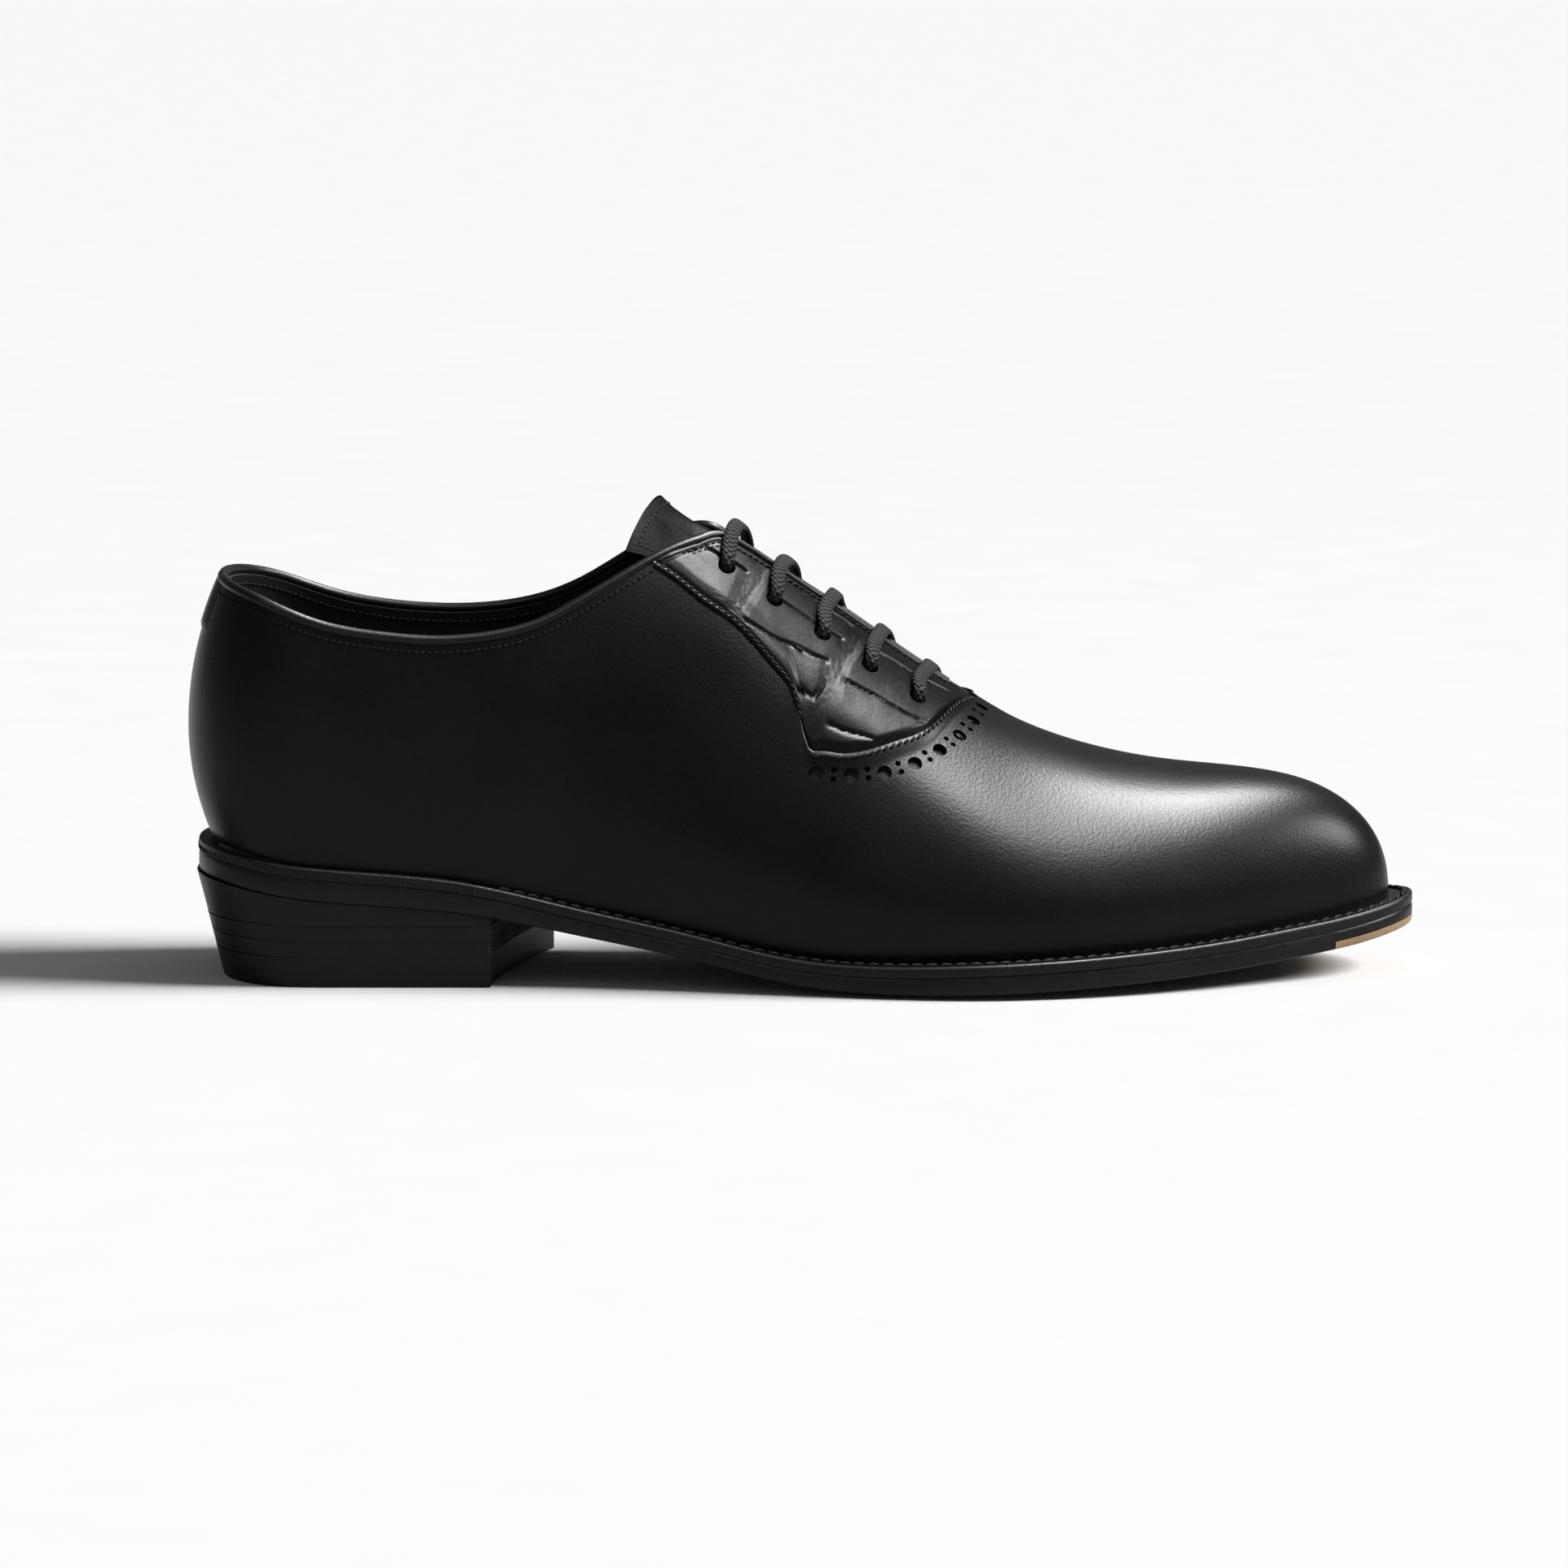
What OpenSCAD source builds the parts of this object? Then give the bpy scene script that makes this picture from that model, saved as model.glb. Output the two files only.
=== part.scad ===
// Right leather oxford shoe, welted, with crocodile facings and five pairs of eyelets.
// Millimetres. Toe +X, inner side of the foot +Y, up +Z. The origin is the centre of the
// heel top piece's underside, so the shoe stands on z = 0.

/* [Leather] */
// Thickness of the upper leather
upper_t = 1.3; // [1:0.1:1.4]
// Thickness of the lining leather
lining_t = 0.8; // [0.6:0.1:1]
// Thickness of the heel counter and of the toe puff
stiffener_t = 1.2; // [0.8:0.1:1.2]
// Thickness of the insole
insole_t = 3; // [2.5:0.5:4]

/* [Sole and heel] */
// Thickness of the welt and of the heel rand
welt_t = 2.8; // [2.4:0.1:3]
// Thickness of the rubber top piece
top_piece_t = 7.5; // [6:0.5:8]
// Thickness of a full heel lift
lift_t = 4.1; // [3.5:0.1:4.2]
// Thickness of the toe piece let into the outsole
toe_piece_t = 1.9; // [1.5:0.1:2.5]
// Distance from one welt stitch to the next
stitch_pitch = 3.6; // [3:0.1:5]

/* [Lacing] */
// Diameter of the lace drawn up round
lace_d = 1.8; // [1.4:0.1:1.8]
// Diameter of a lace hole
hole_d = 5; // [4.6:0.1:5.4]

/* [Show] */
// Which node to draw

/* [Hidden] */

// Ends of the upper and of the sole along X
back_x = -38.8;
tip_x = 261;
sole_back_x = -36.5;
sole_tip_x = 267;
// The throat, where the facings meet, the facings' top corners and the slit at their foot
throat_x = 157.5;
facing_x = 94.5;
slit_x = 114.5;
// Rear end of the facing panels
panel_x = 77.5;

// Half widths of the sole on its outer and inner sides
width_lateral = [
    [-37, 33], [-5, 33], [37, 33], [70, 34], [90, 37.5], [120, 45.4], [145, 51.2], [160, 52.8],
    [175, 52.1], [190, 50.1], [210, 46], [230, 41.1], [250, 37.2], [267, 36]
];
width_medial = [
    [-37, 33], [-5, 33], [37, 32], [70, 27.5], [90, 25.5], [120, 30.6], [145, 40.8], [160, 46.2],
    [175, 48.6], [190, 48.4], [210, 45.3], [230, 40.4], [250, 37.2], [267, 36]
];
// How far the upper's foot stands in from the sole's edge
inset_lateral = [[-40, 2], [37, 2.6], [70, 3.2], [120, 4.2], [160, 4.8], [220, 5.6], [267, 6]];
inset_medial = [[-40, 2], [37, 2.2], [80, 2], [120, 3.2], [160, 4.6], [220, 5.6], [267, 6]];
// How far the upper swells out above its foot, and how high the swelling reaches
bulge_lateral = [
    [-40, 3.2], [37, 3.2], [80, 3.5], [120, 3.6], [160, 3], [220, 2.6], [261, 2.4]
];
bulge_medial = [
    [-40, 3.2], [37, 3.6], [80, 6.5], [120, 4.2], [160, 3], [220, 2.6], [261, 2.4]
];
bulge_rise = [[-40, 28], [37, 28], [100, 26], [150, 18], [220, 14], [261, 8]];
// Underside of the sole's edge, and the edge's full thickness with the welt
sole_z = [
    [-40, 26.6], [-34, 26], [-16, 23.1], [10, 20.6], [33, 18.4], [55, 14.1], [68, 11.5],
    [80, 9.2], [92, 6.6], [104, 3.9], [116, 2], [127, 1.2], [140, 1], [157, 1.4], [177, 2.2],
    [197, 3.3], [217, 4.7], [238, 6.9], [252, 8.7], [267, 11.8]
];
edge_t = [[-40, 7.8], [30, 7.8], [60, 6.8], [120, 6.8], [145, 7.3], [190, 7.4], [267, 7.6]];
// Height and sideways place of the last's ridge, and how square its sections are
ridge_z = [
    [-40, 138], [0, 134], [40, 128], [60, 124], [79, 120], [88, 116.5], [96, 112.4],
    [110, 101.8], [125, 90.2], [140, 79], [155, 69], [168, 61.8], [180, 57], [192, 53.7],
    [204, 51.7], [216, 51.5], [234, 53.5], [246, 55.4], [261, 57.2]
];
ridge_y = [[-40, 0], [60, 0], [110, 2], [150, 5], [190, 6.5], [230, 5.5], [261, 4.5]];
squareness = [
    [-40, 2.5], [20, 2.4], [60, 2.1], [100, 1.95], [140, 2], [180, 2.15], [220, 2.35], [261, 2.4]
];
// Height of the topline on the outer and inner sides
topline_lateral = [
    [-40, 101], [-22, 96.8], [-4, 91], [12, 88.3], [24, 87.4], [38, 88.4], [49, 91.1],
    [59, 96.1], [69, 101.8], [79, 107.2], [88, 110.4], [94.5, 111.4]
];
topline_medial = [
    [-40, 101], [-22, 97.4], [-4, 92.2], [12, 89.5], [24, 88.8], [38, 89.6], [49, 92],
    [59, 96.3], [69, 102.6], [79, 108.8], [88, 111.8], [94.5, 112.2]
];
// Lower edge of the facing panels, as an angle round the section, and half the lacing gap
panel_edge = [
    [77, 54], [90, 52.5], [103, 49], [110, 44], [114.5, 36.5], [122, 37.5], [130, 41],
    [138, 47.5], [146, 56], [153, 66], [157.5, 74]
];
lacing_gap = [[94.5, 8.5], [112, 6.3], [124, 4.6], [140, 2.6], [157.5, 0]];

// Depths below the upper's surface: counter or puff, lining, and the tongue
stiffener_d = upper_t + 0.05;
lining_d = upper_t + 0.1;
facing_extra = 1;
tongue_d = 6.3;
tongue_free_d = 4.2;
tongue_crown = 2;
tongue_t = 1.3;
tongue_lining_t = 0.8;
tongue_half_w = [[76, 18], [90, 19], [120, 20], [151, 16]];
// Turned-in margin of the upper, the insole rib behind it, and the cork inside that
margin = 8;
rib_in = 8.4;
rib_w = 2.2;
cork_in = 13;
cork_end_in = 15;
// Ends of the cork and of the shank, and the shank's half width and thickness
cork_from = -20;
cork_to = 236;
shank_from = 4;
shank_to = 104;
shank_half = 6.5;
shank_t = 1.35;
// Levels above the upper's foot
insole_level = 2.65;
shank_level = 1.15;
// Small clearances between pieces that lie on each other
touch = 0.08;
bead_r = 1.3;
facing_bead_r = 0.95;
outsole_bow = 1;
// Rear edge of the toe piece, and where the quarter lining meets the vamp lining
toe_piece_x = 246;
lining_joint_x = 151;
// Where the welt ends and the heel rand begins
rand_joint_x = 33;
// The heel's breast, and how far its sides and back draw in towards the ground
breast_lateral = 37;
breast_medial = 51;
breast_hollow = 2.5;
heel_taper_back = 5.8;
heel_taper_side = 2.4;
pin_d = 1.8;
pin_grip = 2;
heel_pin_places = [[30, -20], [12, -24], [-8, -22], [-20, 0], [-8, 22], [12, 24], [34, 20]];
// Lace holes, as stations and an angle round the section, and the rings behind them. The
// inner row stands further forward, because the lacing leans with the toe
hole_x = [for (i = [0 : 4]) 95.4 + 11.75 * i];
hole_lead = 4.5;
hole_angle = 64.5;
eyelet_rim_d = 7;
eyelet_t = 0.4;
eyelet_d = 2.6;

// The lace's route: the inner end, five bars with the runs between them, the outer end
lace_route = [
    [7, 23.5, 37], [23, 23, 35.5], [40, 22, 32.5], [57, 20, 28.5], [73, 17.5, 26],
    [86.5, 22.5, 45], [94.5, 20.5, 62.5], [100.5, 17.5, 76.5], [108, 14, 84.5],
    // second bar from the top, then down inside to the fourth
    [110, 10.5, 89.5], [112, 15, 91.5], [112.5, 13, 95.5], [111.5, 8, 101], [110.5, 2, 102.4],
    [109, -7, 102.5], [108, -14, 99], [107.5, -16.5, 95.5], [105, -13, 92],
    [111.5, -16.5, 83.5], [117.5, -18, 77.5], [123, -17.5, 75],
    // fourth bar, then down inside to the fifth
    [128.5, -14.5, 75], [131, -17.5, 79], [131.5, -14.5, 82], [133, -6, 84.5],
    [134.5, 3.5, 85], [135.5, 10.5, 82.5], [136, 16, 79], [135.5, 18.5, 75.5],
    [134, 15, 73], [139.5, 16.5, 68.5],
    // fifth bar, then up inside to the third
    [145.5, 18, 64], [147, 21.5, 68], [147.5, 18.5, 71], [147, 12, 74.5], [146, 4.5, 75.9],
    [145, -6, 76], [143, -14.5, 74], [143, -18, 71.5], [140.5, -15, 67],
    [134.5, -12, 72.5], [129, -10.5, 77], [123, -11, 80.5],
    // third bar, then up inside to the top
    [117, -13.5, 83], [119.5, -17, 87], [119.5, -14, 90], [121, -6.5, 93.5], [122.5, 2.5, 94],
    [123, 9, 91.5], [124, 14, 87], [123.5, 16.5, 83.5], [121.5, 12.5, 81],
    [117, 13.8, 80.3], [111, 14.8, 81.2], [105, 13, 89],
    // top bar, then the outer end
    [98, 9.5, 97.5], [100, 14, 99.5], [100.5, 12.5, 104], [99.5, 7.5, 109.5], [98.5, 1.5, 111.4],
    [97, -7, 111], [96, -13.5, 107], [95.5, -16, 103.5], [94, -12, 100],
    [92.5, -16, 94], [89, -21.5, 82.5], [83.5, -25.5, 67], [76, -27, 48.5],
    [61.5, -23, 28.5], [45.5, -22.5, 31.5], [28.5, -23, 35], [14, -23, 36.5],
    [0, -22, 38]
];
aglet_d = 2.6;
aglet_long = 18;

// ---- numbers on the surface ----

function knot(table, x, i = 0) =
    i > len(table) - 3 || x < table[i + 1][0] ? i : knot(table, x, i + 1);
function slope(table, i) =
    let (a = table[max(i - 1, 0)], b = table[min(i + 1, len(table) - 1)])
    (b[1] - a[1]) / (b[0] - a[0]);
// A smooth curve through the table's points
function curve(table, x) =
    let (
        u = max(table[0][0], min(x, table[len(table) - 1][0])),
        i = knot(table, u),
        h = table[i + 1][0] - table[i][0],
        t = (u - table[i][0]) / h
    )
    table[i][1] * (1 + 2 * t) * (1 - t) ^ 2 + table[i + 1][1] * t * t * (3 - 2 * t)
    + h * slope(table, i) * t * (1 - t) ^ 2 - h * slope(table, i + 1) * t * t * (1 - t);
// 1 until x reaches start, then a rounded fall to 0 at stop
function cap(x, start, stop, power) =
    let (t = max(0, min(1, (x - start) / (stop - start)))) (1 - t ^ power) ^ (1 / power);
function ease(t) = let (u = max(0, min(1, t))) u * u * (3 - 2 * u);
function unit(v) = v / norm(v);

function centre_y(x) = 4.5 * ease((x - 90) / 160);
function sole_half(x, side) =
    curve(side < 0 ? width_lateral : width_medial, x)
    * cap(-x, 5, -sole_back_x, 2.3) * cap(x, 165, sole_tip_x, 2.2);
function foot_z(x) = curve(sole_z, x) + curve(edge_t, x);

// What one cross-section of the upper needs, mirrored past the back seam and the toe tip
function section(station, side) =
    let (
        x = station < back_x ? 2 * back_x - station : min(station, 2 * tip_x - station),
        s = x == station ? side : -side,
        out = s < 0 ? bulge_lateral : bulge_medial,
        in = s < 0 ? inset_lateral : inset_medial,
        width = curve(s < 0 ? width_lateral : width_medial, x) - curve(in, x) + curve(out, x)
    )
    [
        x, s, width, curve(out, x), cap(-x, 8, -back_x, 2.3) * cap(x, 165, tip_x, 2.25),
        (curve(ridge_z, x) - foot_z(x)) * cap(x, 196, tip_x, 2.35), curve(squareness, x),
        centre_y(x), (curve(ridge_y, x) - centre_y(x)) * cap(x, 200, tip_x, 2), foot_z(x),
        curve(bulge_rise, x)
    ];
// How far the heel's back curves forward, above and below its fullest height
function back_lean(x, z) =
    max(0, 1 - (x + 40) / 60) ^ 2 * (z > 62 ? 0.0063 : 0.0078) * (z - 62) ^ 2;
// The point at an angle round a section: 0 at the foot, 90 on the ridge
function on_section(s, angle) =
    let (
        a = max(0, min(angle, 180 - angle)),
        side = angle > 90 ? -s[1] : s[1],
        across = cos(a) ^ (2 / s[6]),
        up = sin(a) ^ (2 / s[6]),
        rise = s[5] * up,
        swell = s[3] * max(0, 1 - rise / s[10]) ^ 2,
        z = s[9] + rise
    )
    [s[0] + back_lean(s[0], z), s[7] + s[8] * up ^ 1.5 + side * (s[2] - swell) * s[4] * across, z];
function angle_at(s, z) = asin(max(0, min(1, (z - s[9]) / s[5])) ^ (s[6] / 2));
function across_at(s, half) = acos(min(1, half / (s[2] * s[4])) ^ (s[6] / 2));
function outward(station, side, angle) =
    let (
        e = 0.3,
        along = on_section(section(station + e, side), angle)
            - on_section(section(station - e, side), angle),
        around = on_section(section(station, side), angle + 2)
            - on_section(section(station, side), max(0, angle - 2))
    )
    station > tip_x - 0.01 ? [1, 0, 0] : -side * unit(cross(along, around));
function under(station, side, angle, depth) =
    on_section(section(station, side), angle) - depth * outward(station, side, angle);

// ---- the grid that every layer of the upper shares ----

function span(a, b, n) = [for (i = [0 : n - 1]) a + (b - a) * i / n];
function back_end(a, long, n) = [for (i = [0 : n - 1]) a + long * (1 - cos(90 * i / n))];
function tip_end(b, long, n) = [for (i = [n : -1 : 0]) b - long * (1 - cos(90 * i / n))];

upper_x = concat(
    back_end(back_x, 20, 6), span(back_x + 20, panel_x, 13), span(panel_x, facing_x, 3),
    span(facing_x, slit_x, 4), span(slit_x, throat_x, 7), span(throat_x, tip_x - 40, 9),
    tip_end(tip_x, 40, 9)
);
seam_k = len(upper_x) - 1;
last_k = 2 * seam_k;
edge_r = 8;
last_r = 11;

function station(k) = upper_x[abs(k - seam_k)];
function side_of(k) = k > seam_k ? 1 : -1;
// Angle of the grid's edge row and of its top row
function top_angle(k, s) =
    station(k) > throat_x - 0.01 ? 90
    : station(k) > facing_x + 0.01 ? across_at(s, curve(lacing_gap, station(k)))
    : angle_at(s, curve(side_of(k) < 0 ? topline_lateral : topline_medial, station(k))
        - 2 * bead_r - touch);
function edge_angle(k, top) =
    station(k) < panel_x - 0.01 ? top * 0.86
    : station(k) < throat_x + 0.01 ? min(curve(panel_edge, station(k)), top - 3) : 74;
function row_angle(r, edge, top) =
    r < edge_r + 1 ? edge * (r - 1) / (edge_r - 1)
    : edge + (top - edge) * (r - edge_r) / (last_r - edge_r);

grid = [
    for (k = [0 : last_k])
        let (
            s = section(station(k), side_of(k)),
            top = top_angle(k, s),
            edge = edge_angle(k, top)
        )
        [
            for (r = [1 : last_r])
                let (a = row_angle(r, edge, top))
                [on_section(s, a), outward(station(k), side_of(k), a)]
        ]
];
foot = [for (k = [0 : last_k]) grid[k][0][0]];
function level(p) = [p[0], p[1]];
// Inward direction in plan along an outline
function inward(outline, k) =
    let (
        n = len(outline) - 1,
        t = unit(level(outline[k == n ? 1 : k + 1]) - level(outline[k == 0 ? n - 1 : k - 1]))
    )
    [t[1], -t[0]];
function moved_in(outline, k, d) = level(outline[k]) + d * inward(outline, k);

function layer_point(k, r, d) =
    r == 0 ? let (p = moved_in(foot, k, margin)) [p[0], p[1], foot_z(p[0]) + d]
    : r == 1 ? let (p = moved_in(foot, k, d)) [p[0], p[1], foot_z(p[0]) + d]
    : let (p = grid[k][r - 1][0] - d * grid[k][r - 1][1])
        [p[0], p[1], max(p[2], foot[k][2] + max(d, 0) + 0.12 * (r - 1))];

// Columns that share a point: the toe tip, and the ridge ahead of the throat
function merged(k, r) =
    k == last_k ? merged(0, r)
    : k == 0 ? [0, min(r, 1)]
    : r == last_r && k > seam_k && station(k) > throat_x - 0.01 ? [last_k - k, r] : [k, r];
function corner(k, r, side) = let (m = merged(k, r)) 2 * (m[0] * (last_r + 1) + m[1]) + side;
function split_quad(q) = [
    for (t = [[q[0], q[1], q[2]], [q[0], q[2], q[3]]])
        if (t[0] != t[1] && t[1] != t[2] && t[0] != t[2]) t
];

// One leather layer: the chosen cells of the grid, between two depths
module layer(chosen, outer, inner) {
    has = function(k, r) r >= 0 && r < last_r && chosen((k + last_k) % last_k, r);
    joined = function(k, r)
        r == last_r - 1 && min(station(k), station(k + 1)) > throat_x - 0.01;
    points = [
        for (k = [0 : last_k])
            for (r = [0 : last_r])
                for (d = [outer(k, r), inner(k, r)]) layer_point(k, r, d)
    ];
    quads = [
        for (k = [0 : last_k - 1])
            for (r = [0 : last_r - 1])
                if (has(k, r))
                    each let (
                        a = corner(k, r, 0),
                        b = corner(k + 1, r, 0),
                        c = corner(k + 1, r + 1, 0),
                        d = corner(k, r + 1, 0)
                    )
                    [
                        [a, b, c, d],
                        [d + 1, c + 1, b + 1, a + 1],
                        if (!has(k, r - 1)) [b, a, a + 1, b + 1],
                        if (!has(k, r + 1) && !joined(k, r)) [d, c, c + 1, d + 1],
                        if (!has(k - 1, r)) [a, d, d + 1, a + 1],
                        if (!has(k + 1, r)) [c, b, b + 1, c + 1]
                    ]
    ];
    polyhedron(points, [for (q = quads) each split_quad(q)], convexity = 10);
}

function cell_x(k) = (station(k) + station(k + 1)) / 2;
function in_panel(k, r) = r >= edge_r && cell_x(k) > panel_x && cell_x(k) < throat_x;
// Thickness of the counter or puff, which thin out towards their edges
function stiff(k, r) =
    r < 2 ? 0.2
    : station(k) < 50
        ? 0.2 + (stiffener_t - 0.2) * ease((50 - station(k)) / 20) * ease((edge_r - 0.8 - r) / 2)
    : 0.2 + (stiffener_t - 0.2) * ease((station(k) - 212) / 16);
lining_depth = function(k, r)
    lining_d + stiff(k, r)
    + (r < edge_r - 1 ? 0 : facing_extra * ease((station(k) - 66) / 12)
        * ease((throat_x + 16 - station(k)) / 12));

// ---- lofts and sweeps ----

// A closed solid through rings of points, which run anticlockwise seen from the far end
module loft(rings) {
    n = len(rings[0]);
    last = len(rings) - 1;
    faces = concat(
        [[for (j = [0 : n - 1]) j]],
        [[for (j = [n - 1 : -1 : 0]) last * n + j]],
        [
            for (i = [0 : last - 1])
                for (j = [0 : n - 1])
                    each split_quad([
                        i * n + j, (i + 1) * n + j, (i + 1) * n + (j + 1) % n, i * n + (j + 1) % n
                    ])
        ]
    );
    polyhedron([for (r = rings) each r], faces, convexity = 10);
}

// An oval ring round a path's point, flat side along the given normal
function oval(path, i, normal, half_w, half_t, sides = 8) =
    let (
        t = unit(path[min(i + 1, len(path) - 1)] - path[max(i - 1, 0)]),
        b = unit(cross(normal, t)),
        n = cross(t, b)
    )
    [
        for (a = [0 : sides - 1])
            path[i] + half_w * cos(360 * (a + 0.5) / sides) * b
            + half_t * sin(360 * (a + 0.5) / sides) * n
    ];

sole_x = concat(
    [sole_back_x + 0.1], [for (x = back_end(sole_back_x, 24, 6)) if (x > sole_back_x + 0.2) x],
    span(sole_back_x + 24, 227, 30), [for (x = tip_end(sole_tip_x, 40, 9)) if (x < 266.9) x],
    [sole_tip_x - 0.1]
);
function sole_edge(x, side) = centre_y(x) + side * max(0.6, sole_half(x, side));
// Edge of a piece inside the shoe, measured in from the upper's foot and its ends
function inner_edge(x, side, in, end_in) =
    let (
        u = x - back_lean(x, foot_z(x)),
        s = section(u, side),
        rounding = cap(u, 165, tip_x - end_in, 2.25) * cap(-u, 8, -back_x - end_in, 2.3)
    )
    centre_y(x) + side * (s[2] - s[3] - in) * rounding;

// ---- sole ----

// A section of the outsole or the toe piece: a bowed underside and a flat top
function sole_section(x, low, high, bow) =
    let (l = sole_edge(x, -1), m = sole_edge(x, 1))
    concat(
        [
            for (v = [0, 0.25, 0.5, 0.75, 1])
                [x, l + (m - l) * v, low - 4 * bow * v * (1 - v)]
        ],
        [[x, m, high], [x, l, high]]
    );
function sole_bow(x) = outsole_bow * ease((x - 60) / 50) * ease((275 - x) / 50);

module outsole() {
    xs = concat(
        [for (x = sole_x) if (x < toe_piece_x) x], [toe_piece_x, toe_piece_x + 0.02],
        [for (x = sole_x) if (x > toe_piece_x + 1) x]
    );
    color([0.08, 0.08, 0.08])
        loft([
            for (x = xs)
                let (recessed = x > toe_piece_x + 0.01)
                sole_section(
                    x, curve(sole_z, x) + (recessed ? toe_piece_t + touch : 0),
                    foot_z(x) - welt_t - 2 * touch, recessed ? 0 : sole_bow(x)
                )
        ]);
}

module toe_piece()
    color([0.42, 0.36, 0.28])
        loft([
            for (x = concat([toe_piece_x + 0.2], [for (x = sole_x) if (x > toe_piece_x + 1) x]))
                sole_section(x, curve(sole_z, x), curve(sole_z, x) + toe_piece_t, sole_bow(x))
        ]);

// The sole's outline, from one breast side round an end of the shoe to the other
function rim(xs) = concat(
    [for (x = xs) [x, centre_y(x) - sole_half(x, -1)]],
    [for (i = [len(xs) - 2 : -1 : 0]) [xs[i], centre_y(xs[i]) + sole_half(xs[i], 1)]]
);
function backwards(list) = [for (i = [len(list) - 1 : -1 : 0]) list[i]];
front_rim = rim(concat(
    [rand_joint_x + touch], [for (x = sole_x) if (x > rand_joint_x + 1 && x < 266.8) x],
    [sole_tip_x]
));
back_rim = backwards(rim(concat(
    [rand_joint_x - touch],
    backwards([for (x = sole_x) if (x < rand_joint_x - 1 && x > sole_back_x + 0.2) x]),
    [sole_back_x]
)));
function path_inward(path, k) =
    let (t = unit(path[min(k + 1, len(path) - 1)] - path[max(k - 1, 0)])) [-t[1], t[0]];
welt_inset = function(p)
    curve(p[1] < centre_y(p[0]) ? inset_lateral : inset_medial, p[0]) + rib_in - 0.3;

// A flat band inside an anticlockwise outline, between two insets and two levels
module band(outline, outer, inner, low, high) {
    loft([
        for (k = [0 : len(outline) - 1])
            let (
                d = path_inward(outline, k),
                p = outline[k] + outer(outline[k]) * d,
                q = outline[k] + inner(outline[k]) * d
            )
            [
                [p[0], p[1], foot_z(p[0]) + low], [q[0], q[1], foot_z(q[0]) + low],
                [q[0], q[1], foot_z(q[0]) + high], [p[0], p[1], foot_z(p[0]) + high]
            ]
    ]);
}

module welt()
    color([0.1, 0.1, 0.1])
        band(front_rim, function(p) 0, welt_inset, -welt_t - touch, -touch);

module heel_rand()
    color([0.1, 0.1, 0.1])
        band(back_rim, function(p) 0, welt_inset, -welt_t - touch, -touch);

module insole_rib()
    color([0.85, 0.82, 0.74])
        band(
            front_rim, function(p) welt_inset(p) + 0.3,
            function(p) welt_inset(p) + 0.3 + rib_w, -welt_t - touch, insole_level - touch
        );

// Distances along an outline, and the point and direction at one of them
function running(path, k = 0, so_far = 0) =
    k == len(path) - 1 ? [so_far]
    : concat([so_far], running(path, k + 1, so_far + norm(path[k + 1] - path[k])));

module welt_stitching() {
    lengths = running(front_rim);
    total = lengths[len(lengths) - 1];
    count = floor(total / stitch_pitch) - 6;
    color([0.12, 0.12, 0.12])
        for (i = [0 : count]) {
            along = (i + 3) * total / (count + 6);
            k = search_below(lengths, along);
            t = (along - lengths[k]) / (lengths[k + 1] - lengths[k]);
            step = front_rim[k + 1] - front_rim[k];
            d = path_inward(front_rim, k) * (1 - t) + path_inward(front_rim, k + 1) * t;
            q = front_rim[k] + t * step;
            p = q + 0.42 * (welt_inset(q) + 0.3 - rib_in) * unit(d);
            translate([p[0], p[1], foot_z(p[0]) + touch / 2])
                rotate([0, atan2(foot_z(p[0] - 1) - foot_z(p[0] + 1), 2) * step[0] / norm(step),
                    atan2(step[1], step[0])])
                    translate([-stitch_pitch * 0.4, -0.5, 0])
                        cube([stitch_pitch * 0.8, 1, 0.55]);
        }
}
function search_below(list, value, k = 0) =
    k > len(list) - 3 || list[k + 1] > value ? k : search_below(list, value, k + 1);

// ---- heel ----

// The heel's outline at a height, which draws in downwards and is cut by a hollow breast
function heel_side(z, side, breast) =
    let (
        fall = max(0, 1 - z / 24),
        back = -sole_back_x - heel_taper_back * fall,
        half = 33 - heel_taper_side * fall
    )
    [
        for (i = [0 : 11])
            let (x = -back + (breast + back) * (1 - cos(90 * i / 11)))
            [x, side * (half - 0.5 * max(0, side)) * cap(-x, 5, back, 2.3)]
    ];
function heel_outline(z) =
    let (
        l = backwards(heel_side(z, -1, breast_lateral)),
        m = heel_side(z, 1, breast_medial),
        from = m[11],
        to = l[0]
    )
    concat(l, [for (i = [1 : 11]) m[i]], [
        for (t = [0.2, 0.4, 0.6, 0.8])
            from + t * (to - from) - [breast_hollow * sin(180 * t), 0]
    ]);
module heel_slab(low, high) {
    a = heel_outline(low);
    b = heel_outline(high);
    n = len(a);
    polyhedron(
        concat([for (p = a) [p[0], p[1], low]], [for (p = b) [p[0], p[1], high]]),
        concat(
            [[for (i = [n - 1 : -1 : 0]) i]],
            [[for (i = [0 : n - 1]) n + i]],
            [
                for (i = [0 : n - 1])
                    each split_quad([i, (i + 1) % n, n + (i + 1) % n, n + i])
            ]
        )
    );
}
module heel_pin_holes(extra)
    for (p = heel_pin_places)
        translate([p[0], p[1], -1])
            cylinder(h = top_piece_t + pin_grip + 1, d = pin_d + extra, $fn = 24);

module heel_top_piece()
    color([0.06, 0.06, 0.06])
        difference() {
            heel_slab(0, top_piece_t);
            heel_pin_holes(0.1);
        }

module heel_pins()
    color([0.72, 0.6, 0.34])
        for (p = heel_pin_places)
            translate([p[0], p[1], 0.1])
                cylinder(h = top_piece_t + pin_grip - 0.2, d = pin_d, $fn = 24);

module heel_lift_lower()
    color([0.16, 0.13, 0.11])
        difference() {
            heel_slab(top_piece_t + touch, top_piece_t + lift_t);
            heel_pin_holes(0.1);
        }

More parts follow.
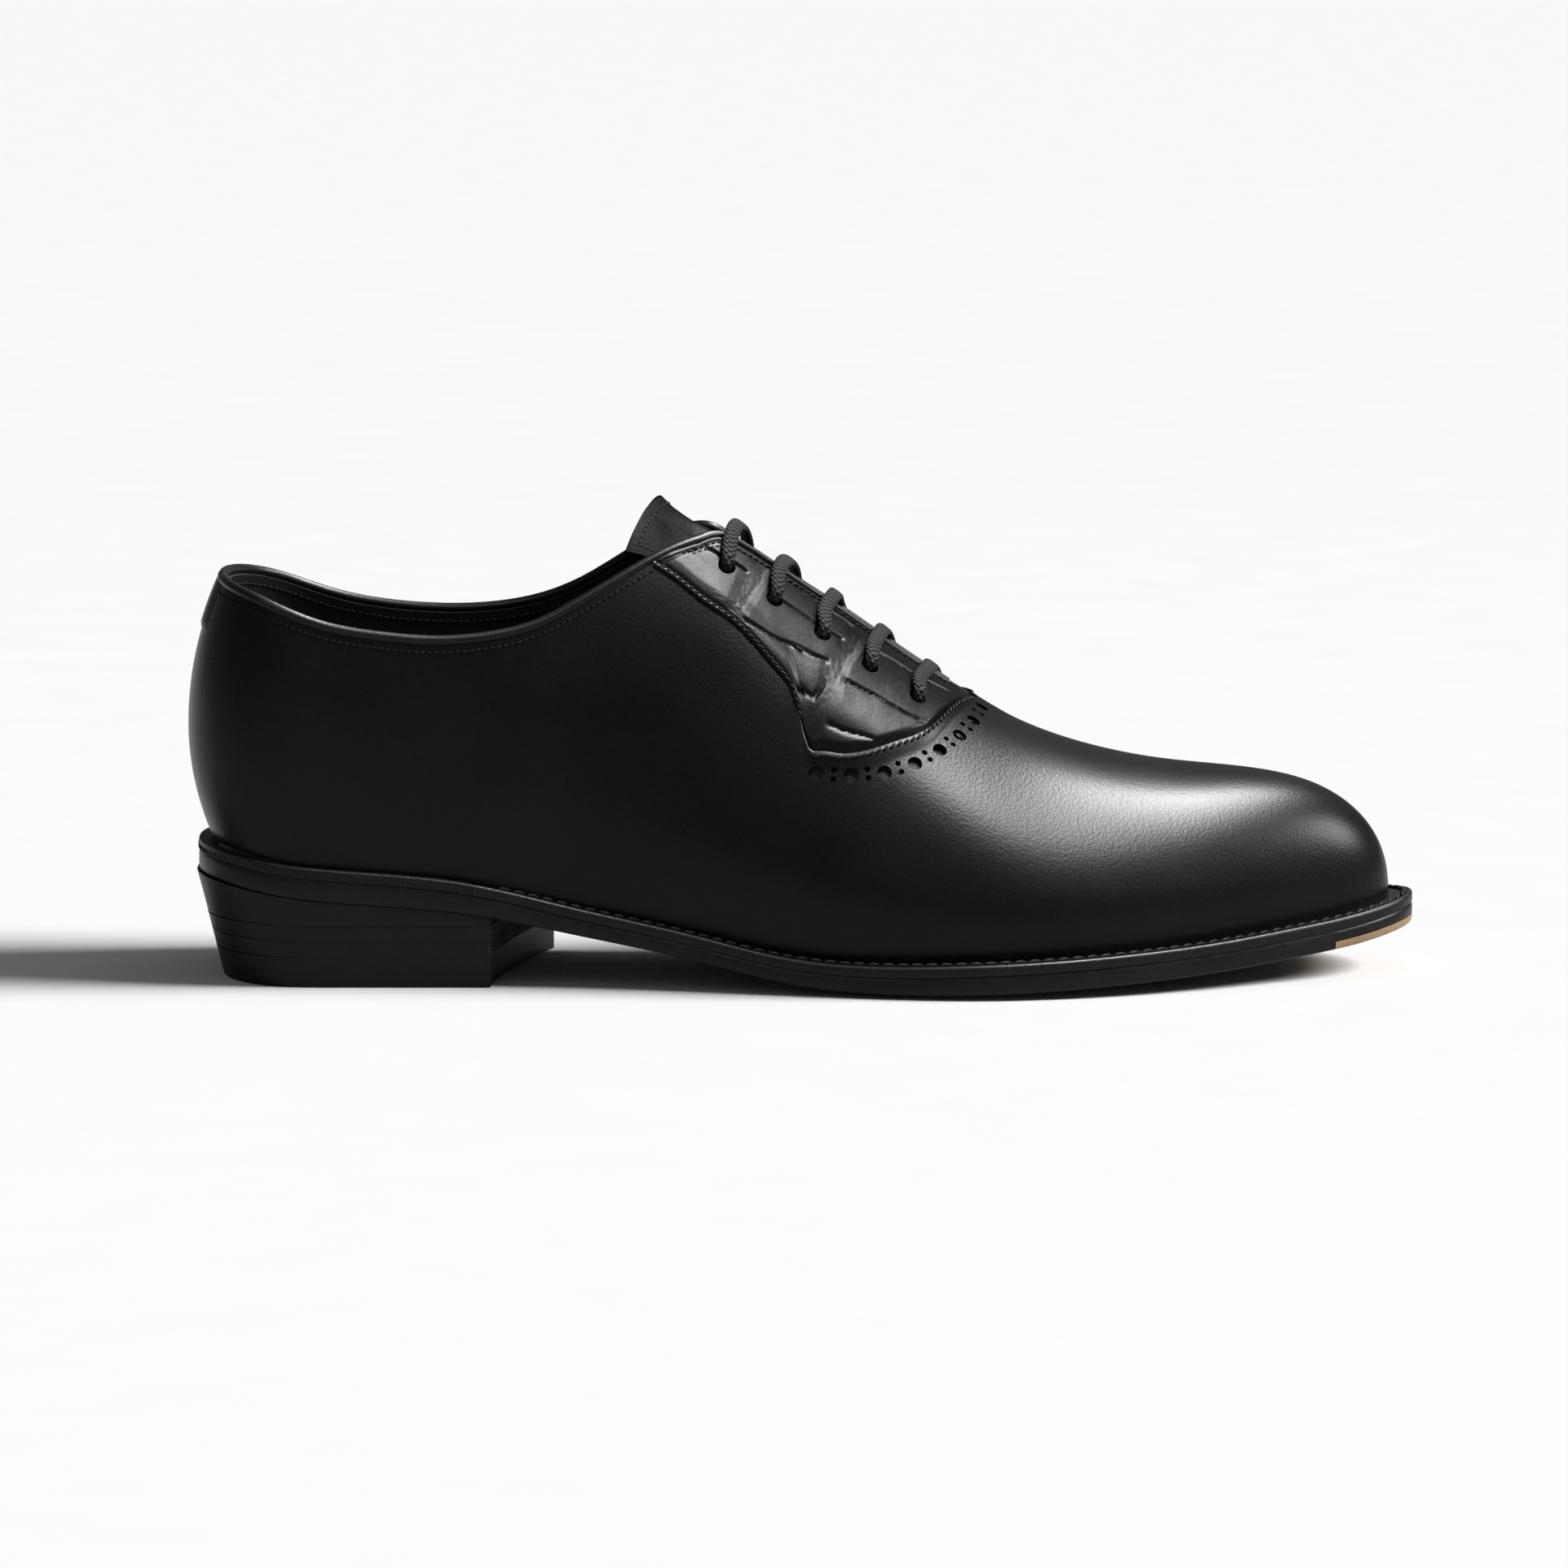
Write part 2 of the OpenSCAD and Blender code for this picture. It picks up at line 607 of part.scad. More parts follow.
module under_outsole()
    translate([0, 60, 0])
        rotate([90, 0, 0])
            linear_extrude(120)
                polygon(concat(
                    [[-60, 0], [-60, curve(sole_z, sole_back_x) - touch]],
                    [for (x = sole_x) if (x < 70) [x, curve(sole_z, x) - touch]],
                    [[70, 0]]
                ));

module heel_lift_middle()
    color([0.18, 0.14, 0.12])
        intersection() {
            heel_slab(top_piece_t + lift_t + touch, top_piece_t + 2 * lift_t);
            under_outsole();
        }

module heel_lift_upper()
    color([0.16, 0.13, 0.11])
        intersection() {
            heel_slab(top_piece_t + 2 * lift_t + touch, 30);
            under_outsole();
        }

// ---- inside the bottom ----

// A bar under the waist of the foot, between two levels above the upper's foot
module waist_bar(from, to, half, low, high)
    loft([
        for (x = concat(span(from, to, 20), [to]))
            [
                for (p = [[-half, low], [half, low], [half, high], [-half, high]])
                    [x, centre_y(x) + p[0], foot_z(x) + p[1]]
            ]
    ]);

module shank()
    color([0.55, 0.56, 0.58])
        waist_bar(shank_from, shank_to, shank_half, shank_level, shank_level + shank_t);

module cork_filler() {
    xs = [for (x = sole_x) if (x > cork_from && x < cork_to) x];
    color([0.66, 0.48, 0.3])
        difference() {
            loft([
                for (x = xs)
                    let (
                        l = inner_edge(x, -1, cork_in, cork_end_in),
                        m = inner_edge(x, 1, cork_in, cork_end_in),
                        low = foot_z(x) - welt_t - touch,
                        high = foot_z(x) + insole_level - touch
                    )
                    [[x, l, low], [x, m, low], [x, m, high], [x, l, high]]
            ]);
            waist_bar(shank_from - 0.5, shank_to + 0.5, shank_half + 0.5, shank_level - touch,
                insole_level + 1);
        }
}

// A flat sheet inside the shoe, between two levels above the upper's foot
module inner_sheet(from, to, in, end_in, low, high)
    loft([
        for (x = concat([from], [for (x = sole_x) if (x > from + 1 && x < to - 1) x], [to]))
            let (
                l = inner_edge(x, -1, in, end_in),
                m = inner_edge(x, 1, in, end_in),
                z = foot_z(x)
            )
            [[x, l, z + low], [x, m, z + low], [x, m, z + high], [x, l, z + high]]
    ]);

module insole()
    color([0.8, 0.66, 0.5])
        inner_sheet(back_x + 10.6, tip_x - 5, 3.4, 4.8, insole_level, insole_level + insole_t);

module heel_sock()
    color([0.1, 0.1, 0.1])
        inner_sheet(back_x + 15, 62, 5.5, 7, insole_level + insole_t + touch,
            insole_level + insole_t + touch + lining_t);

// ---- upper ----

module upper_wholecut()
    color([0.09, 0.09, 0.1])
        layer(function(k, r) !in_panel(k, r), function(k, r) 0, function(k, r) upper_t);

module facing(side)
    color([0.13, 0.13, 0.14])
        difference() {
            layer(
                function(k, r) in_panel(k, r) && side * (k - seam_k + 0.5) > 0,
                function(k, r) 0, function(k, r) upper_t
            );
            lace_holes(side);
        }
module facing_lateral() facing(-1);
module facing_medial() facing(1);

// Puts its children on a lace hole, their +Z outwards from the upper's surface
module at_hole(i, side) {
    x = hole_x[i] + (side > 0 ? hole_lead : 0);
    p = under(x, side, hole_angle, 0);
    n = outward(x, side, hole_angle);
    translate(p)
        rotate([0, acos(n[2]), atan2(n[1], n[0])])
            children();
}
module lace_holes(side)
    for (i = [0 : len(hole_x) - 1])
        at_hole(i, side)
            translate([0, 0, -6])
                cylinder(h = 9, d = hole_d, $fn = 24);

module blind_eyelets()
    color([0.1, 0.1, 0.1])
        for (side = [-1, 1])
            for (i = [0 : len(hole_x) - 1])
                at_hole(i, side)
                    translate([0, 0, -eyelet_d])
                        difference() {
                            cylinder(h = eyelet_t, d = eyelet_rim_d, $fn = 32);
                            translate([0, 0, -1])
                                cylinder(h = eyelet_t + 2, d = hole_d + 0.2, $fn = 24);
                        }

module back_strip()
    color([0.09, 0.09, 0.1])
        layer(
            function(k, r) r > last_r - 3 && (k == seam_k - 1 || k == seam_k),
            function(k, r) -0.9, function(k, r) -0.06
        );

// A round bead along the edge of the upper: [station, side] pairs and a radius
module bead(places, angle, radius) {
    path = [for (p = places) under(p[0], p[1], angle(p), upper_t / 2 + 0.1)];
    loft([
        for (i = [0 : len(path) - 1])
            oval(path, i, outward(places[i][0], places[i][1], angle(places[i])), radius, radius)
    ]);
}

module topline_piping() {
    xs = [for (x = upper_x) if (x < facing_x + 0.1) x];
    color([0.08, 0.08, 0.08])
        bead(
            concat([for (x = backwards(xs)) [x, -1]], [for (i = [1 : len(xs) - 1]) [xs[i], 1]]),
            function(p) angle_at(
                section(p[0], p[1]),
                curve(p[1] < 0 ? topline_lateral : topline_medial, p[0]) - bead_r
            ),
            bead_r
        );
}

module facing_piping(side) {
    xs = [for (x = upper_x) if (x > facing_x + 1 && x < throat_x - 13) x];
    color([0.08, 0.08, 0.08])
        bead(
            [for (x = xs) [x, side]],
            function(p) across_at(
                section(p[0], p[1]), curve(lacing_gap, p[0]) - facing_bead_r - touch
            ),
            facing_bead_r
        );
}
module facing_piping_lateral() facing_piping(-1);
module facing_piping_medial() facing_piping(1);

module heel_counter()
    color([0.7, 0.62, 0.5])
        layer(
            function(k, r) r > 0 && r < edge_r - 1 && cell_x(k) < 42,
            function(k, r) stiffener_d, function(k, r) stiffener_d + stiff(k, r) - touch
        );

module toe_puff()
    color([0.74, 0.66, 0.52])
        layer(
            function(k, r) r > 0 && cell_x(k) > 216,
            function(k, r) stiffener_d, function(k, r) stiffener_d + stiff(k, r) - touch
        );

module quarter_lining()
    color([0.1, 0.1, 0.1])
        difference() {
            layer(
                function(k, r) cell_x(k) < lining_joint_x, lining_depth,
                function(k, r) lining_depth(k, r) + lining_t
            );
            lace_holes(-1);
            lace_holes(1);
        }

module vamp_lining()
    color([0.5, 0.46, 0.4])
        layer(
            function(k, r) cell_x(k) > lining_joint_x, lining_depth,
            function(k, r) lining_depth(k, r) + lining_t
        );

// ---- tongue and lace ----

// A point of the tongue: v runs across it from -1 to 1, depth is measured from its top face
function tongue_point(x, v, depth) =
    let (
        half = curve(tongue_half_w, x) * abs(v),
        side = v < 0 ? -1 : 1,
        angle = across_at(section(x, side), half),
        sunk = tongue_free_d + (tongue_d - tongue_free_d) * ease((x - 78) / 12)
            - tongue_crown * max(0, 1 - (half / 9) ^ 2)
    )
    under(x, side, angle, sunk + depth);
module tongue_layer(top, bottom) {
    across = [for (i = [0 : 12]) -1 + i / 6];
    loft([
        for (x = span(76, 156, 14))
            concat(
                [for (v = across) tongue_point(x, v, bottom)],
                [for (v = backwards(across)) tongue_point(x, v, top)]
            )
    ]);
}

module tongue()
    color([0.1, 0.1, 0.1])
        tongue_layer(0, tongue_t);

module tongue_lining()
    color([0.12, 0.12, 0.12])
        tongue_layer(tongue_t + touch, tongue_t + touch + tongue_lining_t);

module lace() {
    color([0.07, 0.07, 0.07])
        loft([
            for (i = [0 : len(lace_route) - 1])
                oval(lace_route, i, [0.31, 0.29, 0.9], lace_d / 2, lace_d / 2)
        ]);
}

// Stands a cylinder on a point, pointing away from the point before it
module beyond(before, point)
    let (v = unit(point - before))
        translate(point)
            rotate([0, acos(v[2]), atan2(v[1], v[0])])
                children();

module aglets() {
    n = len(lace_route);
    color([0.05, 0.05, 0.05])
        for (end = [[lace_route[1], lace_route[0]], [lace_route[n - 2], lace_route[n - 1]]])
            beyond(end[0], end[1])
                translate([0, 0, 0.05])
                    cylinder(h = aglet_long, d = aglet_d, $fn = 24);
}

// ---- what is drawn ----

outsole();
toe_piece();
welt();
heel_rand();
welt_stitching();
heel_lift_upper();
heel_lift_middle();
heel_lift_lower();
heel_top_piece();
heel_pins();
shank();
cork_filler();
insole_rib();
insole();
heel_sock();
upper_wholecut();
facing_lateral();
facing_medial();
back_strip();
topline_piping();
facing_piping_lateral();
facing_piping_medial();
heel_counter();
toe_puff();
quarter_lining();
vamp_lining();
blind_eyelets();
tongue();
tongue_lining();
lace();
aglets();
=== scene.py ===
import math

import bmesh
import bpy
import numpy as np
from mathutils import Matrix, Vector


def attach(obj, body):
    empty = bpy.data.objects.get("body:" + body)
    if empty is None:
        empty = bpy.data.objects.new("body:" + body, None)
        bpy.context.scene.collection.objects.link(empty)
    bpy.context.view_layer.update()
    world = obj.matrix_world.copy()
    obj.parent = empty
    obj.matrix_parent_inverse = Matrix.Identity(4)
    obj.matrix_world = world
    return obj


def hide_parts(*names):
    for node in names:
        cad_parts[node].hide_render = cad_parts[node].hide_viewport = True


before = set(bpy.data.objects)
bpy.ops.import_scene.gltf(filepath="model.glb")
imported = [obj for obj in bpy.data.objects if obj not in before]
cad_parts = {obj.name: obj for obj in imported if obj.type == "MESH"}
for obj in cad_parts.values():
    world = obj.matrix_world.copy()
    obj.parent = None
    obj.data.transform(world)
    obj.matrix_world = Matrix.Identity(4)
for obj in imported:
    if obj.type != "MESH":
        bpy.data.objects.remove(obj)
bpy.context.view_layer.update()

MM = 0.001
SHOE, FLAP = "shoe", "tongue_flap"


# ---------------- the last's shape, in mm

def spline(table):
    """A natural cubic curve through (x, value) pairs."""
    t = np.array(table, float)
    x, y = t[:, 0], t[:, 1]
    n, h = len(x), np.diff(x)
    a, b = np.zeros((n, n)), np.zeros(n)
    a[0, 0] = a[-1, -1] = 1
    for i in range(1, n - 1):
        a[i, i - 1:i + 2] = h[i - 1], 2 * (h[i - 1] + h[i]), h[i]
        b[i] = 6 * ((y[i + 1] - y[i]) / h[i] - (y[i] - y[i - 1]) / h[i - 1])
    m = np.linalg.solve(a, b)

    def value(u):
        u = np.clip(np.asarray(u, float), x[0], x[-1])
        i = np.clip(np.searchsorted(x, u) - 1, 0, n - 2)
        p, q = (x[i + 1] - u) / h[i], (u - x[i]) / h[i]
        bend = ((p ** 3 - p) * m[i] + (q ** 3 - q) * m[i + 1]) * h[i] ** 2 / 6
        return p * y[i] + q * y[i + 1] + bend

    return value


BACK, TIP, SOLE_BACK, SOLE_TIP = -38.8, 261, -36.5, 267
THROAT, PANEL = 157.5, 77.4
TOE_PIECE, RAND_JOINT = 246, 33
WELT_T, TOP_PIECE, LIFT, TOE_PIECE_T = 2.8, 7.5, 4.1, 1.9
HEEL_TOP, HEEL_HALF, BREAST_LATERAL, BREAST_MEDIAL = 26, 33, 37, 51
TAPER_BACK, TAPER_SIDE, TAPER_HEIGHT, BREAST_HOLLOW = 5.8, 2.4, 24, 2.5
CALF_T, LINING_T, TONGUE_T = 1.2, 0.8, 1.3
LACE_HOLE, HOLE_STEP, HOLE_LEAD = 4.6, 11.75, 4.5
BROGUE_BIG, BROGUE_SMALL = 3.7, 1.45

width_lateral = spline([
    (-37, 33), (-5, 33), (37, 33), (70, 34), (90, 37.5), (120, 45.4), (145, 51.2), (160, 52.8),
    (175, 52.1), (190, 50.1), (210, 46), (230, 41.1), (250, 37.2), (267, 36)])
width_medial = spline([
    (-37, 33), (-5, 33), (37, 32), (70, 27.5), (90, 25.5), (120, 30.6), (145, 40.8), (160, 46.2),
    (175, 48.6), (190, 48.4), (210, 45.3), (230, 40.4), (250, 37.2), (267, 36)])
inset_lateral = spline([(-40, 2), (37, 2.6), (70, 3.2), (120, 4.2), (160, 4.8), (220, 5.6), (267, 6)])
inset_medial = spline([(-40, 2), (37, 2.2), (80, 2), (120, 3.2), (160, 4.6), (220, 5.6), (267, 6)])
bulge_lateral = spline([(-40, 3.2), (37, 3.2), (80, 3.5), (120, 3.6), (160, 3), (220, 2.6), (261, 2.4)])
bulge_medial = spline([(-40, 3.2), (37, 3.6), (80, 6.5), (120, 4.2), (160, 3), (220, 2.6), (261, 2.4)])
bulge_rise = spline([(-40, 28), (37, 28), (100, 26), (150, 18), (220, 14), (261, 8)])
sole_z = spline([
    (-40, 26.6), (-34, 26), (-16, 23.1), (10, 20.6), (33, 18.4), (55, 14.1), (68, 11.5), (80, 9.2),
    (92, 6.6), (104, 3.9), (116, 2), (127, 1.2), (140, 1), (157, 1.4), (177, 2.2), (197, 3.3),
    (217, 4.7), (238, 6.9), (252, 8.7), (267, 11.8)])
edge_t = spline([(-40, 7.8), (30, 7.8), (60, 6.8), (120, 6.8), (145, 7.3), (190, 7.4), (267, 7.6)])
ridge_z = spline([
    (-40, 138), (0, 134), (40, 128), (60, 124), (79, 120), (88, 116.5), (96, 112.4), (110, 101.8),
    (125, 90.2), (140, 79), (155, 69), (168, 61.8), (180, 57), (192, 53.7), (204, 51.7),
    (216, 51.5), (234, 53.5), (246, 55.4), (261, 57.2)])
ridge_y = spline([(-40, 0), (60, 0), (110, 2), (150, 5), (190, 6.5), (230, 5.5), (261, 4.5)])
squareness = spline([
    (-40, 2.5), (20, 2.4), (60, 2.1), (100, 1.95), (140, 2), (180, 2.15), (220, 2.35), (261, 2.4)])
topline_lateral = spline([
    (-40, 101), (-22, 96.8), (-4, 91), (12, 88.3), (24, 87.4), (38, 88.4), (49, 91.1), (59, 96.1),
    (69, 101.8), (79, 107.2), (88, 110.4), (94.5, 111.4)])
topline_medial = spline([
    (-40, 101), (-22, 97.4), (-4, 92.2), (12, 89.5), (24, 88.8), (38, 89.6), (49, 92), (59, 96.3),
    (69, 102.6), (79, 108.8), (88, 111.8), (94.5, 112.2)])
panel_edge = spline([
    (77, 56.4), (83.5, 54.7), (90, 52.5), (97.3, 51.3), (103, 49.3), (108.3, 47.1), (111.9, 43.9),
    (113.5, 40), (115, 36.6), (118, 36.2), (122.2, 37.4), (130, 41.2), (138, 47.6), (146.3, 58),
    (152.6, 74), (157.5, 88)])
lacing_gap = spline([(94.5, 8.5), (112, 6.3), (124, 4.6), (140, 2.6), (157.5, 0.3)])
tongue_half = spline([(76, 18), (90, 19), (120, 20), (151, 16)])


def ease(t):
    t = np.clip(t, 0, 1)
    return t * t * (3 - 2 * t)


def cap(x, start, stop, power):
    t = np.clip((x - start) / (stop - start), 0, 1)
    return (1 - t ** power) ** (1 / power)


def centre_y(x):
    return 4.5 * ease((x - 90) / 160)


def foot_z(x):
    return sole_z(x) + edge_t(x)


def sole_half(x, side):
    width = np.where(np.asarray(side) < 0, width_lateral(x), width_medial(x))
    return width * cap(-x, 5, -SOLE_BACK, 2.3) * cap(x, 165, SOLE_TIP, 2.2)


def half_width(x, side):
    """The upper's half width and its swelling, before the ends are rounded."""
    lateral = np.asarray(side) < 0
    bulge = np.where(lateral, bulge_lateral(x), bulge_medial(x))
    inset = np.where(lateral, inset_lateral(x), inset_medial(x))
    return np.where(lateral, width_lateral(x), width_medial(x)) - inset + bulge, bulge


def round_ends(x):
    return cap(-x, 8, -BACK, 2.3) * cap(x, 165, TIP, 2.25)


def height(x):
    return (ridge_z(x) - foot_z(x)) * cap(x, 196, TIP, 2.35)


def surface(x, side, angle):
    """The upper's surface at a station: side -1 or 1, and from 0 at the foot to 90 on the ridge."""
    x, side, angle = np.broadcast_arrays(*(np.asarray(v, float) for v in (x, side, angle)))
    u = np.where(x < BACK, 2 * BACK - x, np.where(x > TIP, 2 * TIP - x, x))
    side = np.where(u == x, side, -side)
    side = np.where(angle > 90, -side, side)
    a = np.radians(np.clip(np.minimum(angle, 180 - angle), 0, 90))
    width, bulge = half_width(u, side)
    across, up = np.cos(a) ** (2 / squareness(u)), np.sin(a) ** (2 / squareness(u))
    rise = height(u) * up
    z = foot_z(u) + rise
    swell = bulge * np.clip(1 - rise / bulge_rise(u), 0, 1) ** 2
    shift = (ridge_y(u) - centre_y(u)) * cap(u, 200, TIP, 2) * up ** 1.5
    y = centre_y(u) + shift + side * (width - swell) * round_ends(u) * across
    lean = np.clip(1 - (u + 40) / 60, 0, None) ** 2 * np.where(z > 62, 0.0063, 0.0078) * (z - 62) ** 2
    return np.stack([u + lean, y, z], -1)


def outward(x, side, angle):
    x, side, angle = np.broadcast_arrays(*(np.asarray(v, float) for v in (x, side, angle)))
    along = surface(x + 0.3, side, angle) - surface(x - 0.3, side, angle)
    around = surface(x, side, angle + 1.5) - surface(x, side, np.maximum(angle - 1.5, 0))
    n = -side[..., None] * np.cross(along, around)
    n /= np.maximum(np.linalg.norm(n, axis=-1, keepdims=True), 1e-9)
    return np.where((x > TIP - 0.01)[..., None], [1.0, 0, 0], n)


def lift(x, side, angle, h):
    """The point at a height over the upper's surface, or under it where the height is negative."""
    return surface(x, side, angle) + np.asarray(h, float)[..., None] * outward(x, side, angle)


def angle_at(x, z):
    up = np.clip((z - foot_z(x)) / height(x), 0, 1)
    return np.degrees(np.arcsin(up ** (squareness(x) / 2)))


def across_at(x, side, half):
    width = half_width(x, side)[0] * round_ends(x)
    return np.degrees(np.arccos(np.clip(half / width, 0, 1) ** (squareness(x) / 2)))


def mm_per_degree(x, side, angle):
    return np.linalg.norm(surface(x, side, angle + 0.5) - surface(x, side, angle - 0.5), axis=-1)


def topline(x, side):
    return np.where(np.asarray(side) < 0, topline_lateral(x), topline_medial(x))


def top_angle(x, side, drop=0.0):
    """Angle of the upper's top edge, a distance below the topline and behind the lacing gap."""
    at_top = angle_at(x, topline(x, side) - drop)
    at_gap = across_at(x, side, lacing_gap(x) + drop)
    w = ease((x - 88) / 11)
    return np.where(x > THROAT, 90, at_top * (1 - w) + at_gap * w)


# ---------------- mesh helpers

def new_object(name, verts, faces):
    mesh = bpy.data.meshes.new(name)
    mesh.from_pydata([tuple(v) for v in np.asarray(verts) * MM], [], faces)
    obj = bpy.data.objects.new(name, mesh)
    bpy.context.scene.collection.objects.link(obj)
    return obj


def add(name, verts, faces, body=SHOE, nodes=(), slot=None, materials=(), smooth=45, uv=None):
    """Makes a piece from points in mm, on a body, with the CAD nodes that it replaces."""
    obj = new_object(name, verts, faces)
    if uv is not None:
        layer = obj.data.uv_layers.new(name="along")
        where = np.array([l.vertex_index for l in obj.data.loops])
        layer.data.foreach_set("uv", np.asarray(uv, float)[where].ravel())
    for m in materials:
        obj.data.materials.append(m)
    tidy(obj, smooth)
    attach(obj, body)
    if nodes:
        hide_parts(*nodes)
    return obj


def tidy(obj, smooth=45):
    """Merges doubled points, turns the faces outwards and shades them smooth up to an angle."""
    bm = bmesh.new()
    bm.from_mesh(obj.data)
    bmesh.ops.remove_doubles(bm, verts=bm.verts, dist=2e-6)
    bmesh.ops.dissolve_degenerate(bm, edges=bm.edges, dist=1e-6)
    bmesh.ops.recalc_face_normals(bm, faces=bm.faces)
    bm.to_mesh(obj.data)
    bm.free()
    obj.data.shade_smooth()
    obj.data.set_sharp_from_angle(angle=math.radians(smooth))


def grid_faces(n, m, start=0, flip=False, closed=False):
    """Quads between n rows of m points; closed joins the last point of a row to its first."""
    i, j = np.meshgrid(np.arange(n - 1), np.arange(m if closed else m - 1), indexing="ij")
    k = (j + 1) % m
    quads = np.stack([i * m + j, (i + 1) * m + j, (i + 1) * m + k, i * m + k], -1).reshape(-1, 4)
    return (quads[:, ::-1] if flip else quads) + start


def shell(outer, inner, joined=None):
    """Points and faces of a sheet between two grids of points, closed round its edge.
    joined marks the grid points where the sheet meets its other side, so needs no edge wall."""
    n, m = outer.shape[:2]
    points = np.concatenate([outer.reshape(-1, 3), inner.reshape(-1, 3)])
    rim = ([(i, 0) for i in range(n)] + [(n - 1, j) for j in range(1, m)]
           + [(i, m - 1) for i in range(n - 2, -1, -1)] + [(0, j) for j in range(m - 2, 0, -1)])
    ids = np.array([i * m + j for i, j in rim])
    after = np.roll(ids, -1)
    sides = np.stack([ids, after, after + n * m, ids + n * m], -1)
    if joined is not None:
        sides = sides[~(joined.ravel()[ids] & joined.ravel()[after])]
    faces = np.concatenate([grid_faces(n, m), grid_faces(n, m, n * m, True), sides])
    return points, faces.tolist()


def unit(v):
    return v / np.maximum(np.linalg.norm(v, axis=-1, keepdims=True), 1e-9)


def tangents(path):
    return unit(np.gradient(path, axis=0))


def resample(path, step, extra=()):
    """Points an equal distance apart along a path, with other rows carried along."""
    gaps = np.linalg.norm(np.diff(path, axis=0), axis=1)
    at = np.concatenate([[0], np.cumsum(gaps)])
    new = np.linspace(0, at[-1], max(2, int(round(at[-1] / step)) + 1))
    pick = [np.stack([np.interp(new, at, row[:, k]) for k in range(row.shape[1])], -1)
            for row in (path, *extra)]
    return pick[0] if not extra else pick


def tube(path, normals, half_w, half_t, sides=12, power=2.0):
    """Points and faces of a closed rod along a path, its flat side facing the normals."""
    t = tangents(path)
    b = unit(np.cross(normals, t))
    n = np.cross(t, b)
    a = np.arange(sides) * 2 * math.pi / sides
    c, s = np.cos(a), np.sin(a)
    c, s = np.sign(c) * abs(c) ** (2 / power), np.sign(s) * abs(s) ** (2 / power)
    w = np.broadcast_to(np.asarray(half_w, float), (len(path),))
    h = np.broadcast_to(np.asarray(half_t, float), (len(path),))
    rings = (path[:, None] + (w[:, None] * c)[..., None] * b[:, None]
             + (h[:, None] * s)[..., None] * n[:, None])
    k = len(path)
    faces = grid_faces(k, sides, closed=True).tolist()
    faces += [list(range(sides))[::-1], [(k - 1) * sides + j for j in range(sides)]]
    return rings.reshape(-1, 3), faces


def stitch_points(path, normals, pitch, length, radius, slant=0.0, sink=0.3):
    """Small rounded stitches along a path, each dipping into the leather at both ends."""
    path, normals = resample(path, 0.25, (normals,))
    total = 0.25 * (len(path) - 1)
    count = max(1, int(total / pitch))
    verts, faces, base = [], [], 0
    profile = np.array([0, 0.62, 0.95, 1.0, 0.95, 0.62, 0])
    for i in range(count):
        mid = (i + 0.5) * total / count
        s = mid + length * np.array([-0.5, -0.45, -0.25, 0, 0.25, 0.45, 0.5])
        at = np.clip(s / 0.25, 0, len(path) - 1)
        low = np.floor(at).astype(int)
        up = np.minimum(low + 1, len(path) - 1)
        f = (at - low)[:, None]
        p = path[low] * (1 - f) + path[up] * f
        n = unit(normals[low] * (1 - f) + normals[up] * f)
        t = unit(p[-1] - p[0] + 1e-9)
        b = unit(np.cross(n, t))
        p = p + b * (slant * (s - mid) / length)[:, None]
        p = p + n * (radius * (profile - 1) * (1 - sink) * 1.1)[:, None]
        r = np.maximum(radius * profile, radius * 0.2)[:, None, None]
        a = np.arange(8) * math.pi / 4
        ring = (p[:, None] + r * (np.cos(a)[None, :, None] * b[:, None]
                                  + np.sin(a)[None, :, None] * n[:, None]))
        verts.append(ring.reshape(-1, 3))
        q = grid_faces(7, 8, base, closed=True).tolist()
        faces += q + [[base + j for j in range(7, -1, -1)], [base + 48 + j for j in range(8)]]
        base += 56
    return np.concatenate(verts), faces


def stitches(name, rows, body=SHOE, nodes=(), **how):
    verts, faces, base = [], [], 0
    for path, normals in rows:
        v, f = stitch_points(path, normals, **how)
        faces += [[k + base for k in q] for q in f]
        verts.append(v)
        base += len(v)
    add(name, np.concatenate(verts), faces, body, nodes, "thread", [THREAD], smooth=80)


# ---------------- materials

def fill(nt, node, inputs):
    """Sets a node's inputs, each to a plain value or to another node's output."""
    for key, value in inputs.items():
        socket = node.inputs[key.replace("_", " ")]
        if isinstance(value, bpy.types.NodeSocket):
            nt.links.new(value, socket)
        else:
            socket.default_value = value


def new_node(nt, kind, settings=None, **inputs):
    node = nt.nodes.new("ShaderNode" + kind)
    for key, value in (settings or {}).items():
        setattr(node, key, value)
    fill(nt, node, inputs)
    return node


BUMPS = {
    "cells": ("TexVoronoi", {"feature": "SMOOTH_F1"}, "Distance", {}),
    "wave": ("TexWave", {"bands_direction": "Z"}, "Fac", {"Distortion": 1.5}),
    "noise": ("TexNoise", {}, "Fac", {"Detail": 4}),
}


